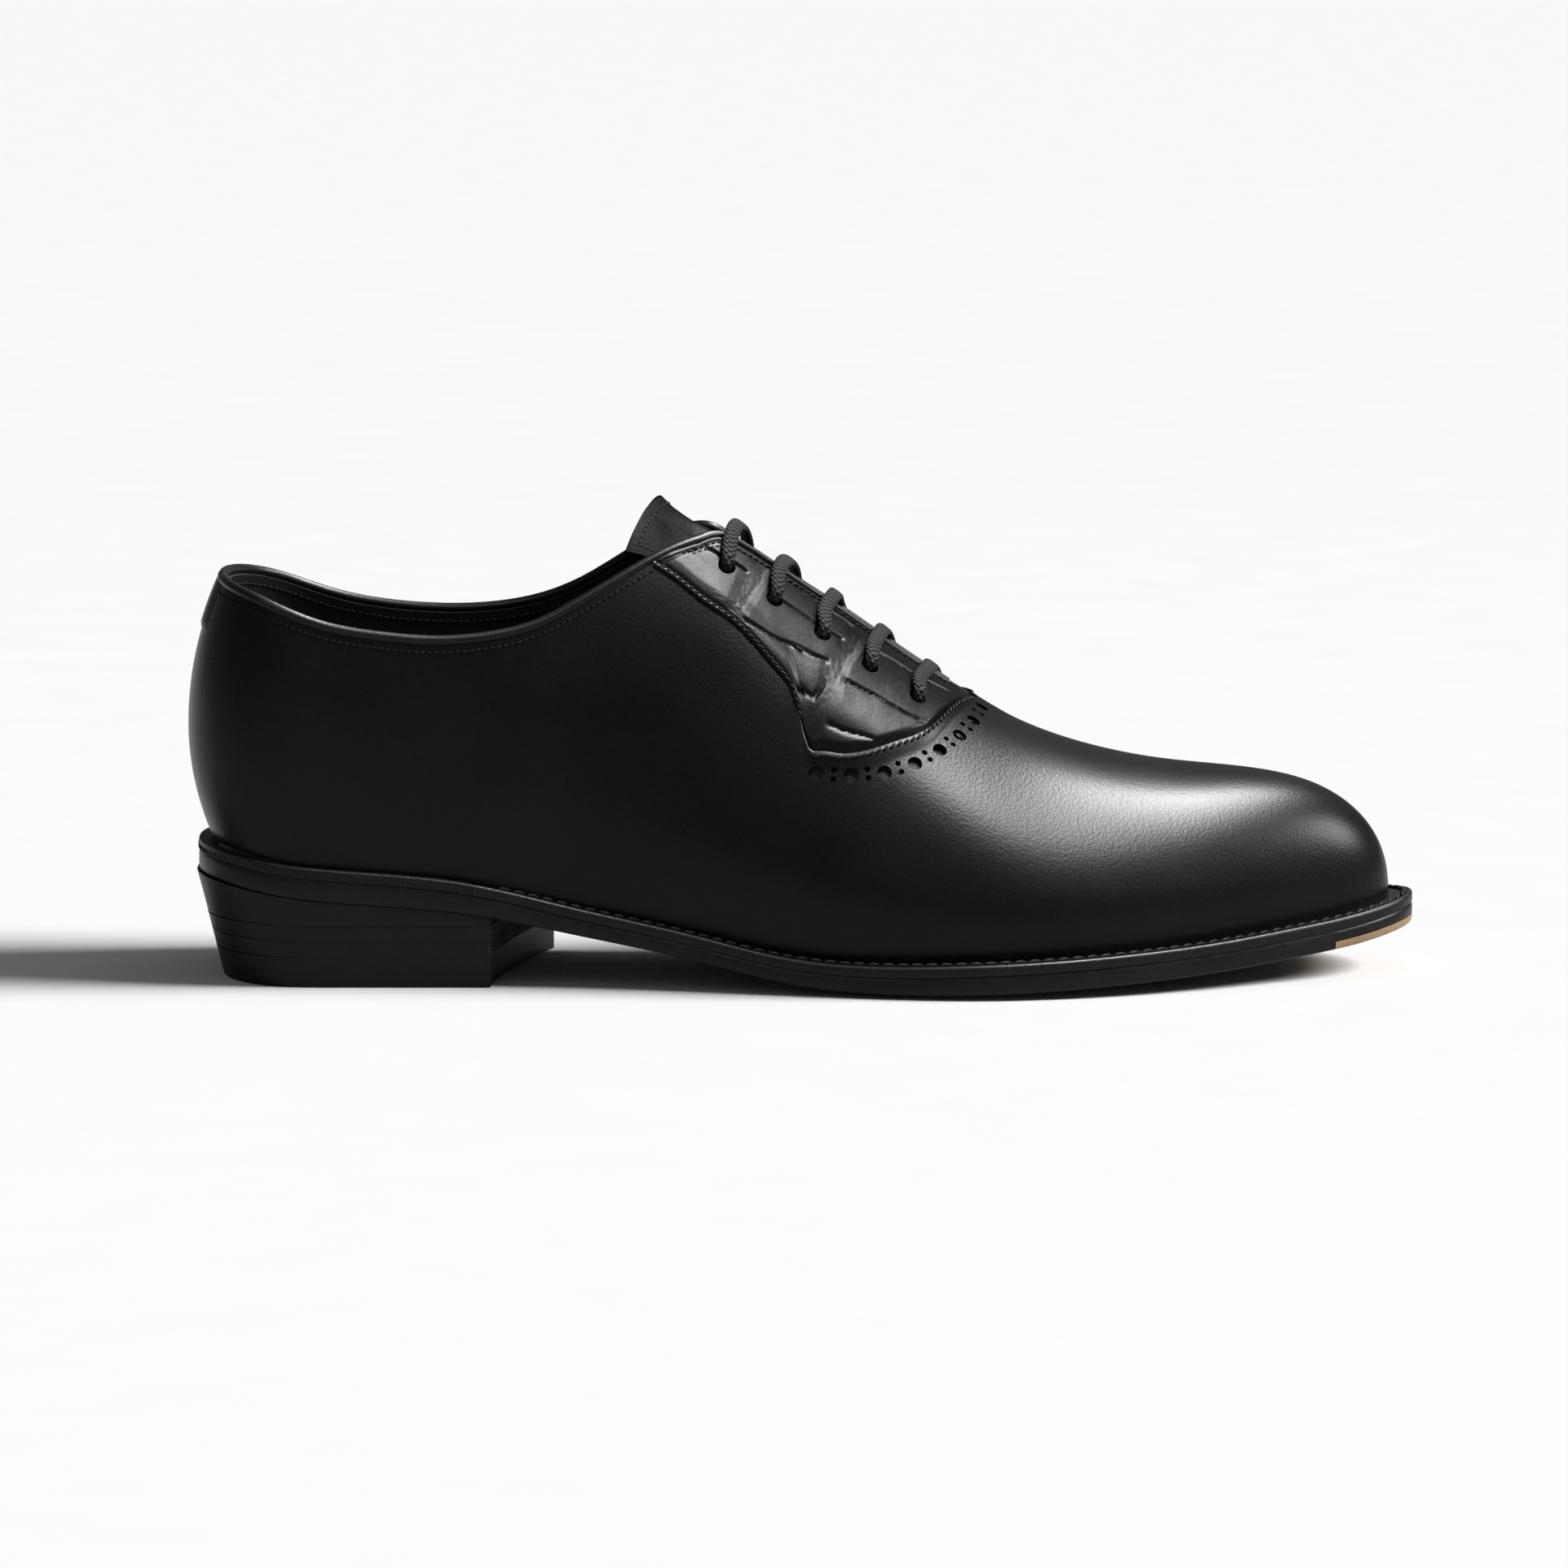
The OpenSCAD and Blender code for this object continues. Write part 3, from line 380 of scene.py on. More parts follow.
def material(name, colour, rough, vary=0.0, bump=(), specular=0.5, grain=900, colour2=None,
             metal=0.0):
    """Principled leather, rubber, thread or metal with fine colour and gloss variation.
    bump is a list of (kind, scale, strength) with kind noise, cells or wave."""
    mat = bpy.data.materials.new(name)
    mat.use_nodes = True
    nt = mat.node_tree
    place = new_node(nt, "TexCoord").outputs["Object"]
    fine = new_node(nt, "TexNoise", Scale=grain, Detail=5, Vector=place)
    wide = new_node(nt, "TexNoise", Scale=35, Detail=3, Vector=place)
    mix = new_node(nt, "Mix", Factor=0.5, A=fine.outputs["Fac"], B=wide.outputs["Fac"])
    blend = mix.outputs["Result"]
    ramp = new_node(nt, "ValToRGB", Fac=blend)
    low, high = ramp.color_ramp.elements
    low.position, high.position = 0.3, 0.7
    low.color = (*colour, 1)
    high.color = (*(colour2 or [c * 1.5 + 0.002 for c in colour]), 1)
    spread = new_node(nt, "MapRange", Value=blend, From_Min=0.3, From_Max=0.7,
                      To_Min=rough - vary, To_Max=rough + vary)
    looks = {"Base Color": ramp.outputs["Color"], "Roughness": spread.outputs["Result"],
             "Specular IOR Level": specular, "Metallic": metal}
    for kind, scale, strength in bump:
        texture, settings, output, extra = BUMPS[kind]
        relief = new_node(nt, texture, settings, Scale=scale, Vector=place, **extra)
        under = {"Normal": looks["Normal"]} if "Normal" in looks else {}
        bumps = new_node(nt, "Bump", Strength=strength, Distance=0.0003,
                         Height=relief.outputs[output], **under)
        looks["Normal"] = bumps.outputs["Normal"]
    fill(nt, nt.nodes["Principled BSDF"], looks)
    return mat


CALF = material("calf leather", (0.003, 0.003, 0.0034), 0.33, 0.035, grain=1500, specular=0.09,
                bump=[("cells", 1500, 0.12), ("noise", 260, 0.05)])
CROC = material("crocodile leather", (0.004, 0.004, 0.0045), 0.3, 0.04, grain=700, specular=0.065,
                bump=[("cells", 1100, 0.06), ("noise", 380, 0.05)])
PIPING = material("piping leather", (0.0035, 0.0035, 0.004), 0.36, 0.05, grain=1300, specular=0.13,
                  bump=[("noise", 900, 0.2)])
LINING = material("lining leather", (0.006, 0.006, 0.006), 0.52, 0.06, grain=800, specular=0.14,
                  bump=[("cells", 900, 0.25)])
TONGUE = material("tongue leather", (0.004, 0.004, 0.0044), 0.44, 0.04, grain=1400, specular=0.02,
                  bump=[("cells", 1200, 0.25), ("noise", 300, 0.1)])
THREAD = material("waxed thread", (0.003, 0.003, 0.0032), 0.55, 0.08, grain=2600, specular=0.06,
                  bump=[("noise", 3200, 0.5)])
SOLE = material("sole edge, waxed", (0.0035, 0.0035, 0.004), 0.38, 0.08, grain=500, specular=0.14,
                bump=[("noise", 420, 0.2), ("wave", 380, 0.04)])
WELT = material("welt leather", (0.0038, 0.0038, 0.0042), 0.4, 0.07, grain=600, specular=0.14,
                bump=[("noise", 800, 0.35)])
HEEL = material("heel lift leather, waxed", (0.0045, 0.0045, 0.005), 0.42, 0.07, grain=380,
                specular=0.12, bump=[("wave", 300, 0.06), ("noise", 500, 0.2)])
BREAST = material("cut heel leather", (0.012, 0.012, 0.012), 0.8, 0.1, grain=420, specular=0.2,
                  bump=[("wave", 420, 0.9), ("noise", 600, 0.8)], colour2=(0.04, 0.039, 0.037))
RUBBER = material("heel rubber", (0.005, 0.005, 0.0055), 0.55, 0.06, grain=700, specular=0.12,
                  bump=[("noise", 1300, 0.25)])
TAN = material("toe piece leather", (0.19, 0.125, 0.065), 0.5, 0.1, grain=500, specular=0.35,
               bump=[("noise", 700, 0.3)], colour2=(0.27, 0.18, 0.1))
BRAID = material("woven lace", (0.0035, 0.0035, 0.004), 0.7, 0.08, grain=2200, specular=0.1,
                 colour2=(0.007, 0.007, 0.0075))
PLASTIC = material("aglet plastic", (0.01, 0.01, 0.011), 0.22, 0.04, grain=300, specular=0.5,
                   bump=[("noise", 200, 0.05)])
INSOLE = material("insole leather", (0.35, 0.23, 0.13), 0.62, 0.08, grain=500,
                  bump=[("noise", 900, 0.3)], colour2=(0.45, 0.31, 0.19))
STEEL = material("shank steel", (0.4, 0.41, 0.43), 0.35, 0.1, grain=300, metal=1.0,
                 bump=[("noise", 500, 0.1)])
BRASS = material("brass pins", (0.62, 0.45, 0.16), 0.32, 0.08, grain=500, metal=1.0,
                 bump=[("noise", 900, 0.1)], colour2=(0.75, 0.56, 0.24))
CORK = material("cork filler", (0.32, 0.17, 0.07), 0.85, 0.08, grain=260,
                bump=[("cells", 420, 0.8)], colour2=(0.5, 0.3, 0.15))
CANVAS = material("rib canvas", (0.55, 0.5, 0.4), 0.9, 0.05, grain=900,
                  bump=[("wave", 900, 0.6)], colour2=(0.68, 0.63, 0.53))
FIBRE = material("stiffener board", (0.34, 0.25, 0.16), 0.8, 0.08, grain=600,
                 bump=[("noise", 700, 0.5)], colour2=(0.46, 0.36, 0.25))
VAMP_LINING = material("vamp lining leather", (0.016, 0.015, 0.015), 0.6, 0.06, grain=800,
                       bump=[("cells", 800, 0.3)])
EYELET = material("eyelet enamel", (0.012, 0.012, 0.013), 0.3, 0.05, grain=500, metal=0.3,
                  bump=[("noise", 600, 0.1)])


def weave(mat):
    """Adds a braid's crossing strands, from the lace's own length and girth."""
    nt = mat.node_tree
    uv = new_node(nt, "UVMap", {"uv_map": "along"}).outputs["UV"]
    strands = []
    for turn in (1, -1):
        slant = (0, 0, turn * math.radians(38))
        shear = new_node(nt, "Mapping", Rotation=slant, Vector=uv)
        wave = new_node(nt, "TexWave", Scale=0.27, Vector=shear.outputs["Vector"])
        strands.append(wave.outputs["Fac"])
    top = new_node(nt, "Math", {"operation": "MULTIPLY"})
    for socket, strand in zip(top.inputs, strands):
        nt.links.new(strand, socket)
    relief = new_node(nt, "Bump", Strength=1.0, Distance=0.0007, Height=top.outputs["Value"])
    fill(nt, nt.nodes["Principled BSDF"], {"Normal": relief.outputs["Normal"]})


weave(BRAID)

for name, mat in {
    "shank": STEEL, "cork_filler": CORK, "insole_rib": CANVAS, "insole": INSOLE,
    "heel_pins": BRASS, "heel_counter": FIBRE, "toe_puff": FIBRE, "vamp_lining": VAMP_LINING,
    "blind_eyelets": EYELET,
}.items():
    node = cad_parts[name]
    node.data.materials.clear()
    node.data.materials.append(mat)


# ---------------- the upper's calf leather

def stations(start, stop, step, round_back=False, round_tip=False):
    """Stations an even step apart, closer together towards a rounded end."""
    a, b = start, stop
    parts = []
    if round_back:
        t = np.linspace(0, math.pi / 2, int(30 / step) + 4)
        parts.append(start + 22 * (1 - np.cos(t)))
        a = start + 22
    if round_tip:
        b = stop - 42
    parts.append(np.linspace(a, b, max(2, int(round((b - a) / step)) + 1)))
    if round_tip:
        t = np.linspace(math.pi / 2, 0, int(60 / step) + 4)
        parts.append(stop - 42 * (1 - np.cos(t)))
    x = np.unique(np.round(np.concatenate(parts), 5))
    return x[np.concatenate([[True], np.diff(x) > 1e-4])]


BIG_HOLES = [(117.3, 31.9), (126, 34.4), (134.1, 38), (141.6, 43.4), (147.8, 50.5), (152.8, 59),
             (156.4, 69), (158.8, 82)]
HOLE_ANGLE = 64.5


def lace_holes(side):
    """Stations of a side's five lace holes: the inner row stands further forward."""
    return [95.4 + HOLE_STEP * i + (HOLE_LEAD if side > 0 else 0) for i in range(5)]


def edge_of(x, side, under):
    """Top edge of the calf: the topline, then the panel's edge, which it runs under at the rear."""
    limit = top_angle(x, side, 2.2)
    edge = panel_edge(x)
    tuck = under * (1 - ease((x - 111) / 4)) / mm_per_degree(x, side, edge)
    inside = np.minimum(edge + tuck, limit)
    w = ease((x - PANEL + 3) / 5)
    before = np.where(x < PANEL + 2, limit, inside)
    return np.where(x > THROAT, 90, np.minimum(before * (1 - w) + inside * w, limit))


def calf(side):
    x = stations(BACK, TIP, 1.25, True, True)
    rows = np.linspace(0, 1, 70)[None, :]
    edge = edge_of(x, side, 4.0)[:, None]
    angle = edge * rows
    xs = np.broadcast_to(x[:, None], angle.shape)
    gap = (edge - angle) * mm_per_degree(xs, side, angle)
    over = ease((x - 112) / 5)[:, None] * ease((THROAT + 14 - x) / 16)[:, None]
    rounded = 0.35 * over * ease(1 - gap / 0.5) * (x < THROAT)[:, None]
    rise = 0.55 * over * ease(1 - (gap - 0.6) / 5) - rounded
    return xs, angle, rise


def join_sides(lateral, medial):
    """One grid of points from the lateral side round the toe to the medial side."""
    return np.concatenate([lateral, medial[::-1][1:]], 0)


outer, inner = [], []
for side in (-1, 1):
    xs, angle, rise = calf(side)
    outer.append(lift(xs, side, angle, rise))
    inner.append(lift(xs, side, angle, rise - CALF_T))
ahead = join_sides(xs[:, 0] > THROAT, xs[:, 0] > THROAT)
meets = np.zeros((len(ahead), angle.shape[1]), bool)
meets[:, -1] = ahead
meets[[0, -1]] = True
upper = add("upper_calf", *shell(join_sides(*outer), join_sides(*inner), meets),
            nodes=["upper_wholecut"], slot="calf", materials=[CALF])


def punch(obj, places, depth=6):
    """Cuts round holes (station, side, angle, diameter) through a piece."""
    verts, faces, base = [], [], 0
    a = np.arange(20) * math.pi / 10
    for x, side, angle, d in places:
        p, n = surface(x, side, angle), outward(x, side, angle)
        u = unit(np.cross(n, [0.3, 0.1, 1.0]))
        v = np.cross(n, u)
        ring = d / 2 * (np.cos(a)[:, None] * u + np.sin(a)[:, None] * v)
        verts += [p + ring - depth * n, p + ring + 4 * n]
        faces += grid_faces(2, 20, base, closed=True).tolist()
        faces += [[base + j for j in range(19, -1, -1)], [base + 20 + j for j in range(20)]]
        base += 40
    cutter = new_object("cutter", np.concatenate(verts), faces)
    tidy(cutter)
    cut = obj.modifiers.new("holes", "BOOLEAN")
    cut.operation, cut.solver, cut.object = "DIFFERENCE", "EXACT", cutter
    with bpy.context.temp_override(object=obj, active_object=obj):
        bpy.ops.object.modifier_apply(modifier=cut.name)
    bpy.data.objects.remove(cutter)
    obj.data.set_sharp_from_angle(angle=math.radians(38))


def brogueing():
    """A row of large holes with two small ones between each pair, on both sides."""
    places = []
    for side in (-1, 1):
        for i, (x, a) in enumerate(BIG_HOLES):
            places.append((x, side, a, BROGUE_BIG))
            if i:
                px, pa = BIG_HOLES[i - 1]
                mx, ma = (x + px) / 2, (a + pa) / 2
                p, q = surface(px, side, pa), surface(x, side, a)
                n = outward(mx, side, ma)
                across = unit(np.cross(n, unit(q - p)))
                for k in (-1, 1):
                    want = surface(mx, side, ma) + 1.15 * k * across
                    dx = want[0] - surface(mx, side, ma)[0]
                    da = np.dot(want - surface(mx + dx, side, ma),
                                unit(surface(mx, side, ma + 0.5) - surface(mx, side, ma - 0.5)))
                    da /= mm_per_degree(mx, side, ma)
                    places.append((mx + dx, side, ma + da, BROGUE_SMALL))
    return places


punch(upper, brogueing(), depth=3)


# ---------------- crocodile facings

# Grooves between the scales as (station, angle) lines, bands of small scales, and folds
GROOVES = [
    [(80, 68.5), (88.8, 67.2), (94, 66.5), (100.5, 66.8)],
    [(109, 65.8), (116.8, 66.8), (124, 67.8)],
    [(99.8, 53), (108.2, 54.4), (120.3, 57)],
    [(124.8, 54.6), (132.2, 56), (139.5, 56.3), (147, 57.4)],
    [(120.3, 42.3), (128, 44), (137, 45.6)],
    [(110.5, 75.2), (118.5, 76.4), (126, 77)],
    [(133, 73.2), (142, 75.2), (150, 78)],
    [(112.5, 46.4), (116.5, 46.6), (119.4, 51.5)],
]
BANDS = [
    [(106.5, 80), (104.6, 73.8), (101.8, 65.5), (99.9, 60), (98, 55), (96, 51), (95, 47)],
    [(130.5, 82), (128, 74.8), (125, 65.5), (122.6, 57.5), (120, 50), (117.6, 44), (115.6, 38),
     (115, 33)],
]


def flat_lines(lines):
    """The lines as dense points in mm, on a flat plane of station and girth."""
    out = []
    for line in lines:
        p = np.array(line, float) * [1, GIRTH]
        out.append(resample(p, 0.3))
    return out


GIRTH = 0.78
grooves, bands = flat_lines(GROOVES), flat_lines(BANDS)


def distance(points, line):
    return np.sqrt(((points[:, None] - line[None]) ** 2).sum(-1).min(1))


def wobble(p, scale, seed):
    """Smooth value noise in the plane, from -1 to 1."""
    q = p * scale
    i = np.floor(q).astype(int)
    f = q - i
    f = f * f * (3 - 2 * f)

    def corner(a, b):
        h = np.sin((i[:, 0] + a) * 127.1 + (i[:, 1] + b) * 311.7 + seed * 74.7) * 43758.5453
        return 2 * (h - np.floor(h)) - 1

    low = corner(0, 0) * (1 - f[:, 0]) + corner(1, 0) * f[:, 0]
    high = corner(0, 1) * (1 - f[:, 0]) + corner(1, 1) * f[:, 0]
    return low * (1 - f[:, 1]) + high * f[:, 1]


def pebbles(p, size, seed):
    """Domed little scales: height falls towards the borders between scattered points."""
    q = p / size
    i = np.floor(q).astype(int)
    best, second = np.full(len(p), 9.0), np.full(len(p), 9.0)
    for a in (-1, 0, 1):
        for b in (-1, 0, 1):
            c = i + [a, b]
            h = np.sin(c[:, 0] * 12.9898 + c[:, 1] * 78.233 + seed) * 43758.5453
            g = np.sin(c[:, 0] * 39.3468 + c[:, 1] * 11.135 + seed) * 24634.6345
            centre = c + 0.15 + 0.7 * np.stack([h - np.floor(h), g - np.floor(g)], -1)
            d = np.sqrt(((q - centre) ** 2).sum(-1))
            second = np.minimum(second, np.maximum(best, d))
            best = np.minimum(best, d)
    return ease((second - best) / 0.6)


def scales(x, angle):
    """Height of the crocodile's relief in mm."""
    p = np.stack([x.ravel(), angle.ravel() * GIRTH], -1)
    p = p + 0.45 * np.stack([wobble(p, 0.16, 1), wobble(p, 0.16, 2)], -1)
    near = np.min([distance(p, g) for g in grooves], 0)
    to_band = np.min([distance(p, b) for b in bands], 0)
    wide = 1.9 + 0.5 * wobble(p, 0.25, 3)
    in_band = ease((wide - to_band) / 1.0)
    h = -0.52 * np.exp(-(near / 0.32) ** 2) * (1 - in_band)
    h += 0.12 * (1 - np.exp(-(near / 1.6) ** 2)) * (1 - in_band)
    h -= 0.09 * np.exp(-((to_band - wide) / 0.5) ** 2)
    h += in_band * (-0.1 + 0.05 * pebbles(p, 1.3, 5))
    # combs of short folds on the scales' front ends, which lie behind each band and the vamp
    behind = np.min([np.where(p[:, 0] < np.interp(p[:, 1], b[::-1, 1], b[::-1, 0]),
                              distance(p, b), 99) for b in bands], 0)
    at_vamp = np.clip(150 - p[:, 0], 0, 99) + 2
    reach = np.minimum(behind, at_vamp)
    comb = ease((8.5 - reach) / 3.5) * (1 - in_band)
    fold = np.sin(2 * math.pi * (p[:, 1] * 0.5 + 0.45 * wobble(p, 0.4, 8))) ** 10
    h -= 0.035 * comb * fold * (0.6 + 0.4 * wobble(p, 0.8, 9))
    h += 0.035 * wobble(p, 0.3, 11)
    return h.reshape(x.shape)


def facing(side, name):
    """A facing: over the calf at the rear, under it in front, with a channel for its stitches."""
    x = np.unique(np.concatenate([np.arange(PANEL, THROAT - 0.5, 0.4), [THROAT - 0.5]]))[:, None]
    edge = panel_edge(x)
    tuck = 3.2 * ease((x - 112) / 5) / mm_per_degree(x, side, edge)
    top = top_angle(x, side, 1.6)
    low = np.minimum(edge - tuck, top - 1.0)
    rows = np.linspace(0, 1, 96)[None, :]
    angle = low + (top - low) * rows
    xs = np.broadcast_to(x, angle.shape)
    per = mm_per_degree(xs, side, angle)
    inside = (angle - edge) * per
    at_top = (top - angle) * per
    rear = 1 - ease((xs - 110) / 6)
    over = rear * 0.75 * (1 - ease((inside - 4.5) / 6))
    under = (1 - rear) * 1.15 * (1 - ease((inside + 0.5) / 3.5))
    h = 0.1 + over - rear * 0.3 * ease(1 - inside / 0.6) - under - 0.5 * ease(1 - at_top)
    quiet = ease((inside - 1.9) / 1.2) * ease((at_top - 2.6) / 1.0)
    h = h + scales(xs, angle) * (0.25 + 0.75 * quiet)
    h = h - 0.22 * np.exp(-((at_top - 2.3) / 0.45) ** 2)
    h = h - 0.2 * np.exp(-((inside - 1.5) / 0.4) ** 2) * rear
    outer = lift(xs, side, angle, h)
    inner = lift(xs, side, angle, np.minimum(h - 0.35, over - under - 0.9))
    obj = add(name, *shell(outer, inner), nodes=["facing_lateral" if side < 0 else "facing_medial"],
              slot="crocodile", materials=[CROC], smooth=60)
    punch(obj, [(hx, side, HOLE_ANGLE, LACE_HOLE) for hx in lace_holes(side)])
    return obj


facing(-1, "facing_crocodile_lateral")
facing(1, "facing_crocodile_medial")

# ---------------- edges, seams and stitches


def row_on(x, side, angle, h):
    x = np.asarray(x, float)
    side = np.broadcast_to(side, x.shape)
    return lift(x, side, angle, np.broadcast_to(h, x.shape)), outward(x, side, angle)


def round_top(x, drop, h):
    """A line below the topline from the lateral panel round the heel to the medial one."""
    pts, nrm = [], []
    for side, xs in ((-1, x[::-1]), (1, x[1:])):
        p, n = row_on(xs, side, top_angle(xs, side, drop), h)
        pts.append(p)
        nrm.append(n)
    return np.concatenate(pts), np.concatenate(nrm)


FINE_SEAM = {"pitch": 1.7, "length": 1.45, "radius": 0.27, "slant": 0.25}
back_x = stations(BACK, 97, 1.0, True)
path, normals = round_top(back_x, 1.3, -0.55)
path, normals = resample(path, 0.8, (normals,))
BEAD, FACING_BEAD = 1.3, 0.95
add("topline_bead", *tube(path, normals, BEAD, BEAD, 16), nodes=["topline_piping"],
    slot="calf", materials=[PIPING])
stitches("topline_stitches", [round_top(back_x, 4.3, 0.1)], **FINE_SEAM)

front_x = np.arange(95.5, THROAT - 6, 0.8)
for side, word in ((-1, "lateral"), (1, "medial")):
    p, n = row_on(front_x, side, top_angle(front_x, side, 0.75), -0.35)
    add(f"facing_bead_{word}", *tube(p, n, FACING_BEAD, FACING_BEAD, 14),
        nodes=[f"facing_piping_{word}"], slot="calf", materials=[PIPING])


def both_sides(x, angle, h):
    """A row of stitches on each side; angle gives its place from the station and the side."""
    return [row_on(x, side, angle(x, side), h) for side in (-1, 1)]


def off_panel(distance_up):
    """Places a distance above the panel's lower edge."""
    def angle(x, side):
        return panel_edge(x) + distance_up / mm_per_degree(x, side, panel_edge(x))
    return angle


rows = both_sides(np.arange(84, THROAT - 7, 0.6), lambda x, side: top_angle(x, side, 3.4), 0.14)
stitches("facing_edge_stitches", rows, **FINE_SEAM)

rear_x = np.concatenate([np.arange(79, 111, 0.5), np.arange(111, 113.6, 0.15)])
rows = both_sides(rear_x, off_panel(1.35), 0.86)
stitches("panel_rear_stitches", rows, pitch=1.75, length=1.5, radius=0.28,
         slant=0.3)

vamp_x = np.concatenate([np.arange(116.5, 150, 0.5), np.arange(150, 156.6, 0.2)])
rows = both_sides(vamp_x, off_panel(-1.25), 0.62)
stitches("vamp_edge_stitches", rows, pitch=1.9, length=1.95, radius=0.42,
         slant=0.75, sink=0.45)

# The strip sewn over the back seam
z = np.linspace(87, 99.2, 14)
rows_a = np.linspace(-1, 1, 9)
angle = angle_at(BACK, z)[:, None]
narrowing = 1 - 0.12 * (z[::-1, None] - 87) / 12
x = BACK + 0.02 + 22 * (1 - np.cos(np.abs(rows_a) * 0.46))[None, :] * narrowing
side = np.where(rows_a < 0, -1, 1)[None, :]
x, side, angle = np.broadcast_arrays(x, side, angle)
rounded = 0.62 * (1 - np.abs(rows_a) ** 6)[None, :] * ease((z - 86.4) / 1.2)[:, None] + 0.05
strip = shell(lift(x, side, angle, rounded), lift(x, side, angle, np.full_like(rounded, -0.3)))
add("back_strip_leather", *strip, nodes=["back_strip"], slot="calf", materials=[CALF])

# ---------------- lining


def lining(side):
    x = stations(BACK, 151, 1.5, True)[:, None]
    rows = np.linspace(0.02, 1, 60)[None, :]
    angle = top_angle(x, side, 2.0) * rows
    xs = np.broadcast_to(x, angle.shape)
    r = rows * 10 + 1
    stiff = 0.2 + 1.0 * ease((50 - xs) / 20) * ease((7.2 - r) / 2)
    deep = ease((xs - 66) / 12) * np.where(r > 6.5, 1.0, 0.0) * ease((r - 6.5) / 1.5)
    return xs, angle, -1.4 - stiff - deep


outer, inner = [], []
for side in (-1, 1):
    xs, angle, h = lining(side)
    outer.append(lift(xs, side, angle, h))
    inner.append(lift(xs, side, angle, h - LINING_T))
outer = np.concatenate([outer[0][::-1], outer[1][1:]])
inner = np.concatenate([inner[0][::-1], inner[1][1:]])
quarter = add("quarter_lining_leather", *shell(outer, inner), nodes=["quarter_lining"],
              slot="lining_leather", materials=[LINING])
punch(quarter, [(hx, side, HOLE_ANGLE, LACE_HOLE) for side in (-1, 1) for hx in lace_holes(side)], depth=7)


def lining_row(drop):
    p, n = round_top(stations(BACK, 88, 1.0, True), drop, -2.55)
    return p, -n


stitches("lining_stitches", [lining_row(4.3)], pitch=1.7, length=1.4,
         radius=0.26, slant=0.2)

# ---------------- tongue


def tongue_grid(depth, shrink=0.0):
    v = np.linspace(-1, 1, 61)[None, :] * (1 - shrink)
    start = 79.8 - 9.3 * np.abs(v) ** 1.25
    x = start + (156 - start) * np.linspace(0, 1, 90)[:, None] ** 1.15
    side = np.where(v < 0, -1, 1) + 0 * x
    half = tongue_half(x) * np.abs(v)
    sunk = 4.2 + 2.1 * ease((x - 78) / 12) - 2 * np.clip(1 - (half / 9) ** 2, 0, None)
    sunk = sunk - 3.2 * ease((84 - x) / 12)
    angle = across_at(x, side, half)
    return lift(x, side, angle, -(sunk + depth)), outward(x, side, angle)


top, up = tongue_grid(0)
low, _ = tongue_grid(TONGUE_T)
add("tongue_leather", *shell(top, low), body=FLAP, nodes=["tongue"], slot="calf", materials=[TONGUE])
lining_top, _ = tongue_grid(TONGUE_T + 0.06, 0.015)
lining_low, _ = tongue_grid(TONGUE_T + LINING_T, 0.015)
add("tongue_lining_leather", *shell(lining_top, lining_low), body=FLAP,
    nodes=["tongue_lining"], slot="lining_leather", materials=[LINING])
inset = 4
path, normals = (np.concatenate([g[inset:70, 2][::-1], g[inset, 3:-3], g[inset:70, -3]])
                 for g in (top, up))
stitches("tongue_stitches", [(path, normals)], body=FLAP, **FINE_SEAM)

# ---------------- welt, rand and sole


def outline(xs, side):
    return np.stack([xs, centre_y(xs) + side * sole_half(xs, side)], -1)


def ring_path(xs):
    """The sole's edge from the lateral side round an end to the medial side, and inward normals."""
    lat, med = outline(xs, -1), outline(xs, 1)
    path = np.concatenate([lat, med[::-1][1:]])
    t = tangents(path)
    return path, np.stack([-t[:, 1], t[:, 0]], -1)


def sweep(name, path, inward, profile, **kw):
    """A closed profile of (inset, height over the foot line) carried along the sole's edge."""
    profile = np.array(profile, float)
    xy = path[:, None] + inward[:, None] * profile[None, :, :1]
    z = foot_z(xy[..., 0]) + profile[None, :, 1]
    pts = np.concatenate([xy, z[..., None]], -1)
    n, m = pts.shape[:2]
    faces = grid_faces(n, m, closed=True).tolist()
    faces += [list(range(m))[::-1], [(n - 1) * m + j for j in range(m)]]
    return add(name, pts.reshape(-1, 3), faces, **kw)


def front_stations(start, step=1.5):
    return stations(start, SOLE_TIP, step, False, True)


welt_x = front_stations(RAND_JOINT + 0.08)
path, inward = ring_path(welt_x)
sweep("welt_strip", path, inward, [
    (0.35, -2.88), (0.08, -2.7), (0, -2.4), (0, -0.85), (0.12, -0.4), (0.45, -0.12), (0.9, -0.05),
    (1.5, -0.1), (1.95, -0.34), (2.6, -0.36), (3.1, -0.12), (4, -0.08), (10, -0.08), (10, -2.88),
], nodes=["welt"], slot="sole_leather", materials=[WELT])

keep = slice(4, len(path) - 4)
row = np.concatenate([path + 2.25 * inward, (foot_z((path + 2.25 * inward)[:, 0]) + 0.06)[:, None]], -1)
upn = np.broadcast_to([0, 0, 1.0], row.shape)
stitches("welt_stitches", [(row[keep], upn[keep])], nodes=["welt_stitching"],
         pitch=3.6, length=3.3, radius=0.6, slant=0.9, sink=0.5)

back = stations(SOLE_BACK, RAND_JOINT - 0.08, 1.2, True)[::-1]
path, outward_of_back = ring_path(back)
sweep("heel_rand_strip", path, -outward_of_back, [
    (0.3, -2.88), (0.06, -2.7), (0, -2.4), (0, -0.7), (0.1, -0.3), (0.4, -0.1), (0.8, -0.05),
    (9, -0.08), (9, -2.88),
], nodes=["heel_rand"], slot="sole_leather", materials=[WELT])

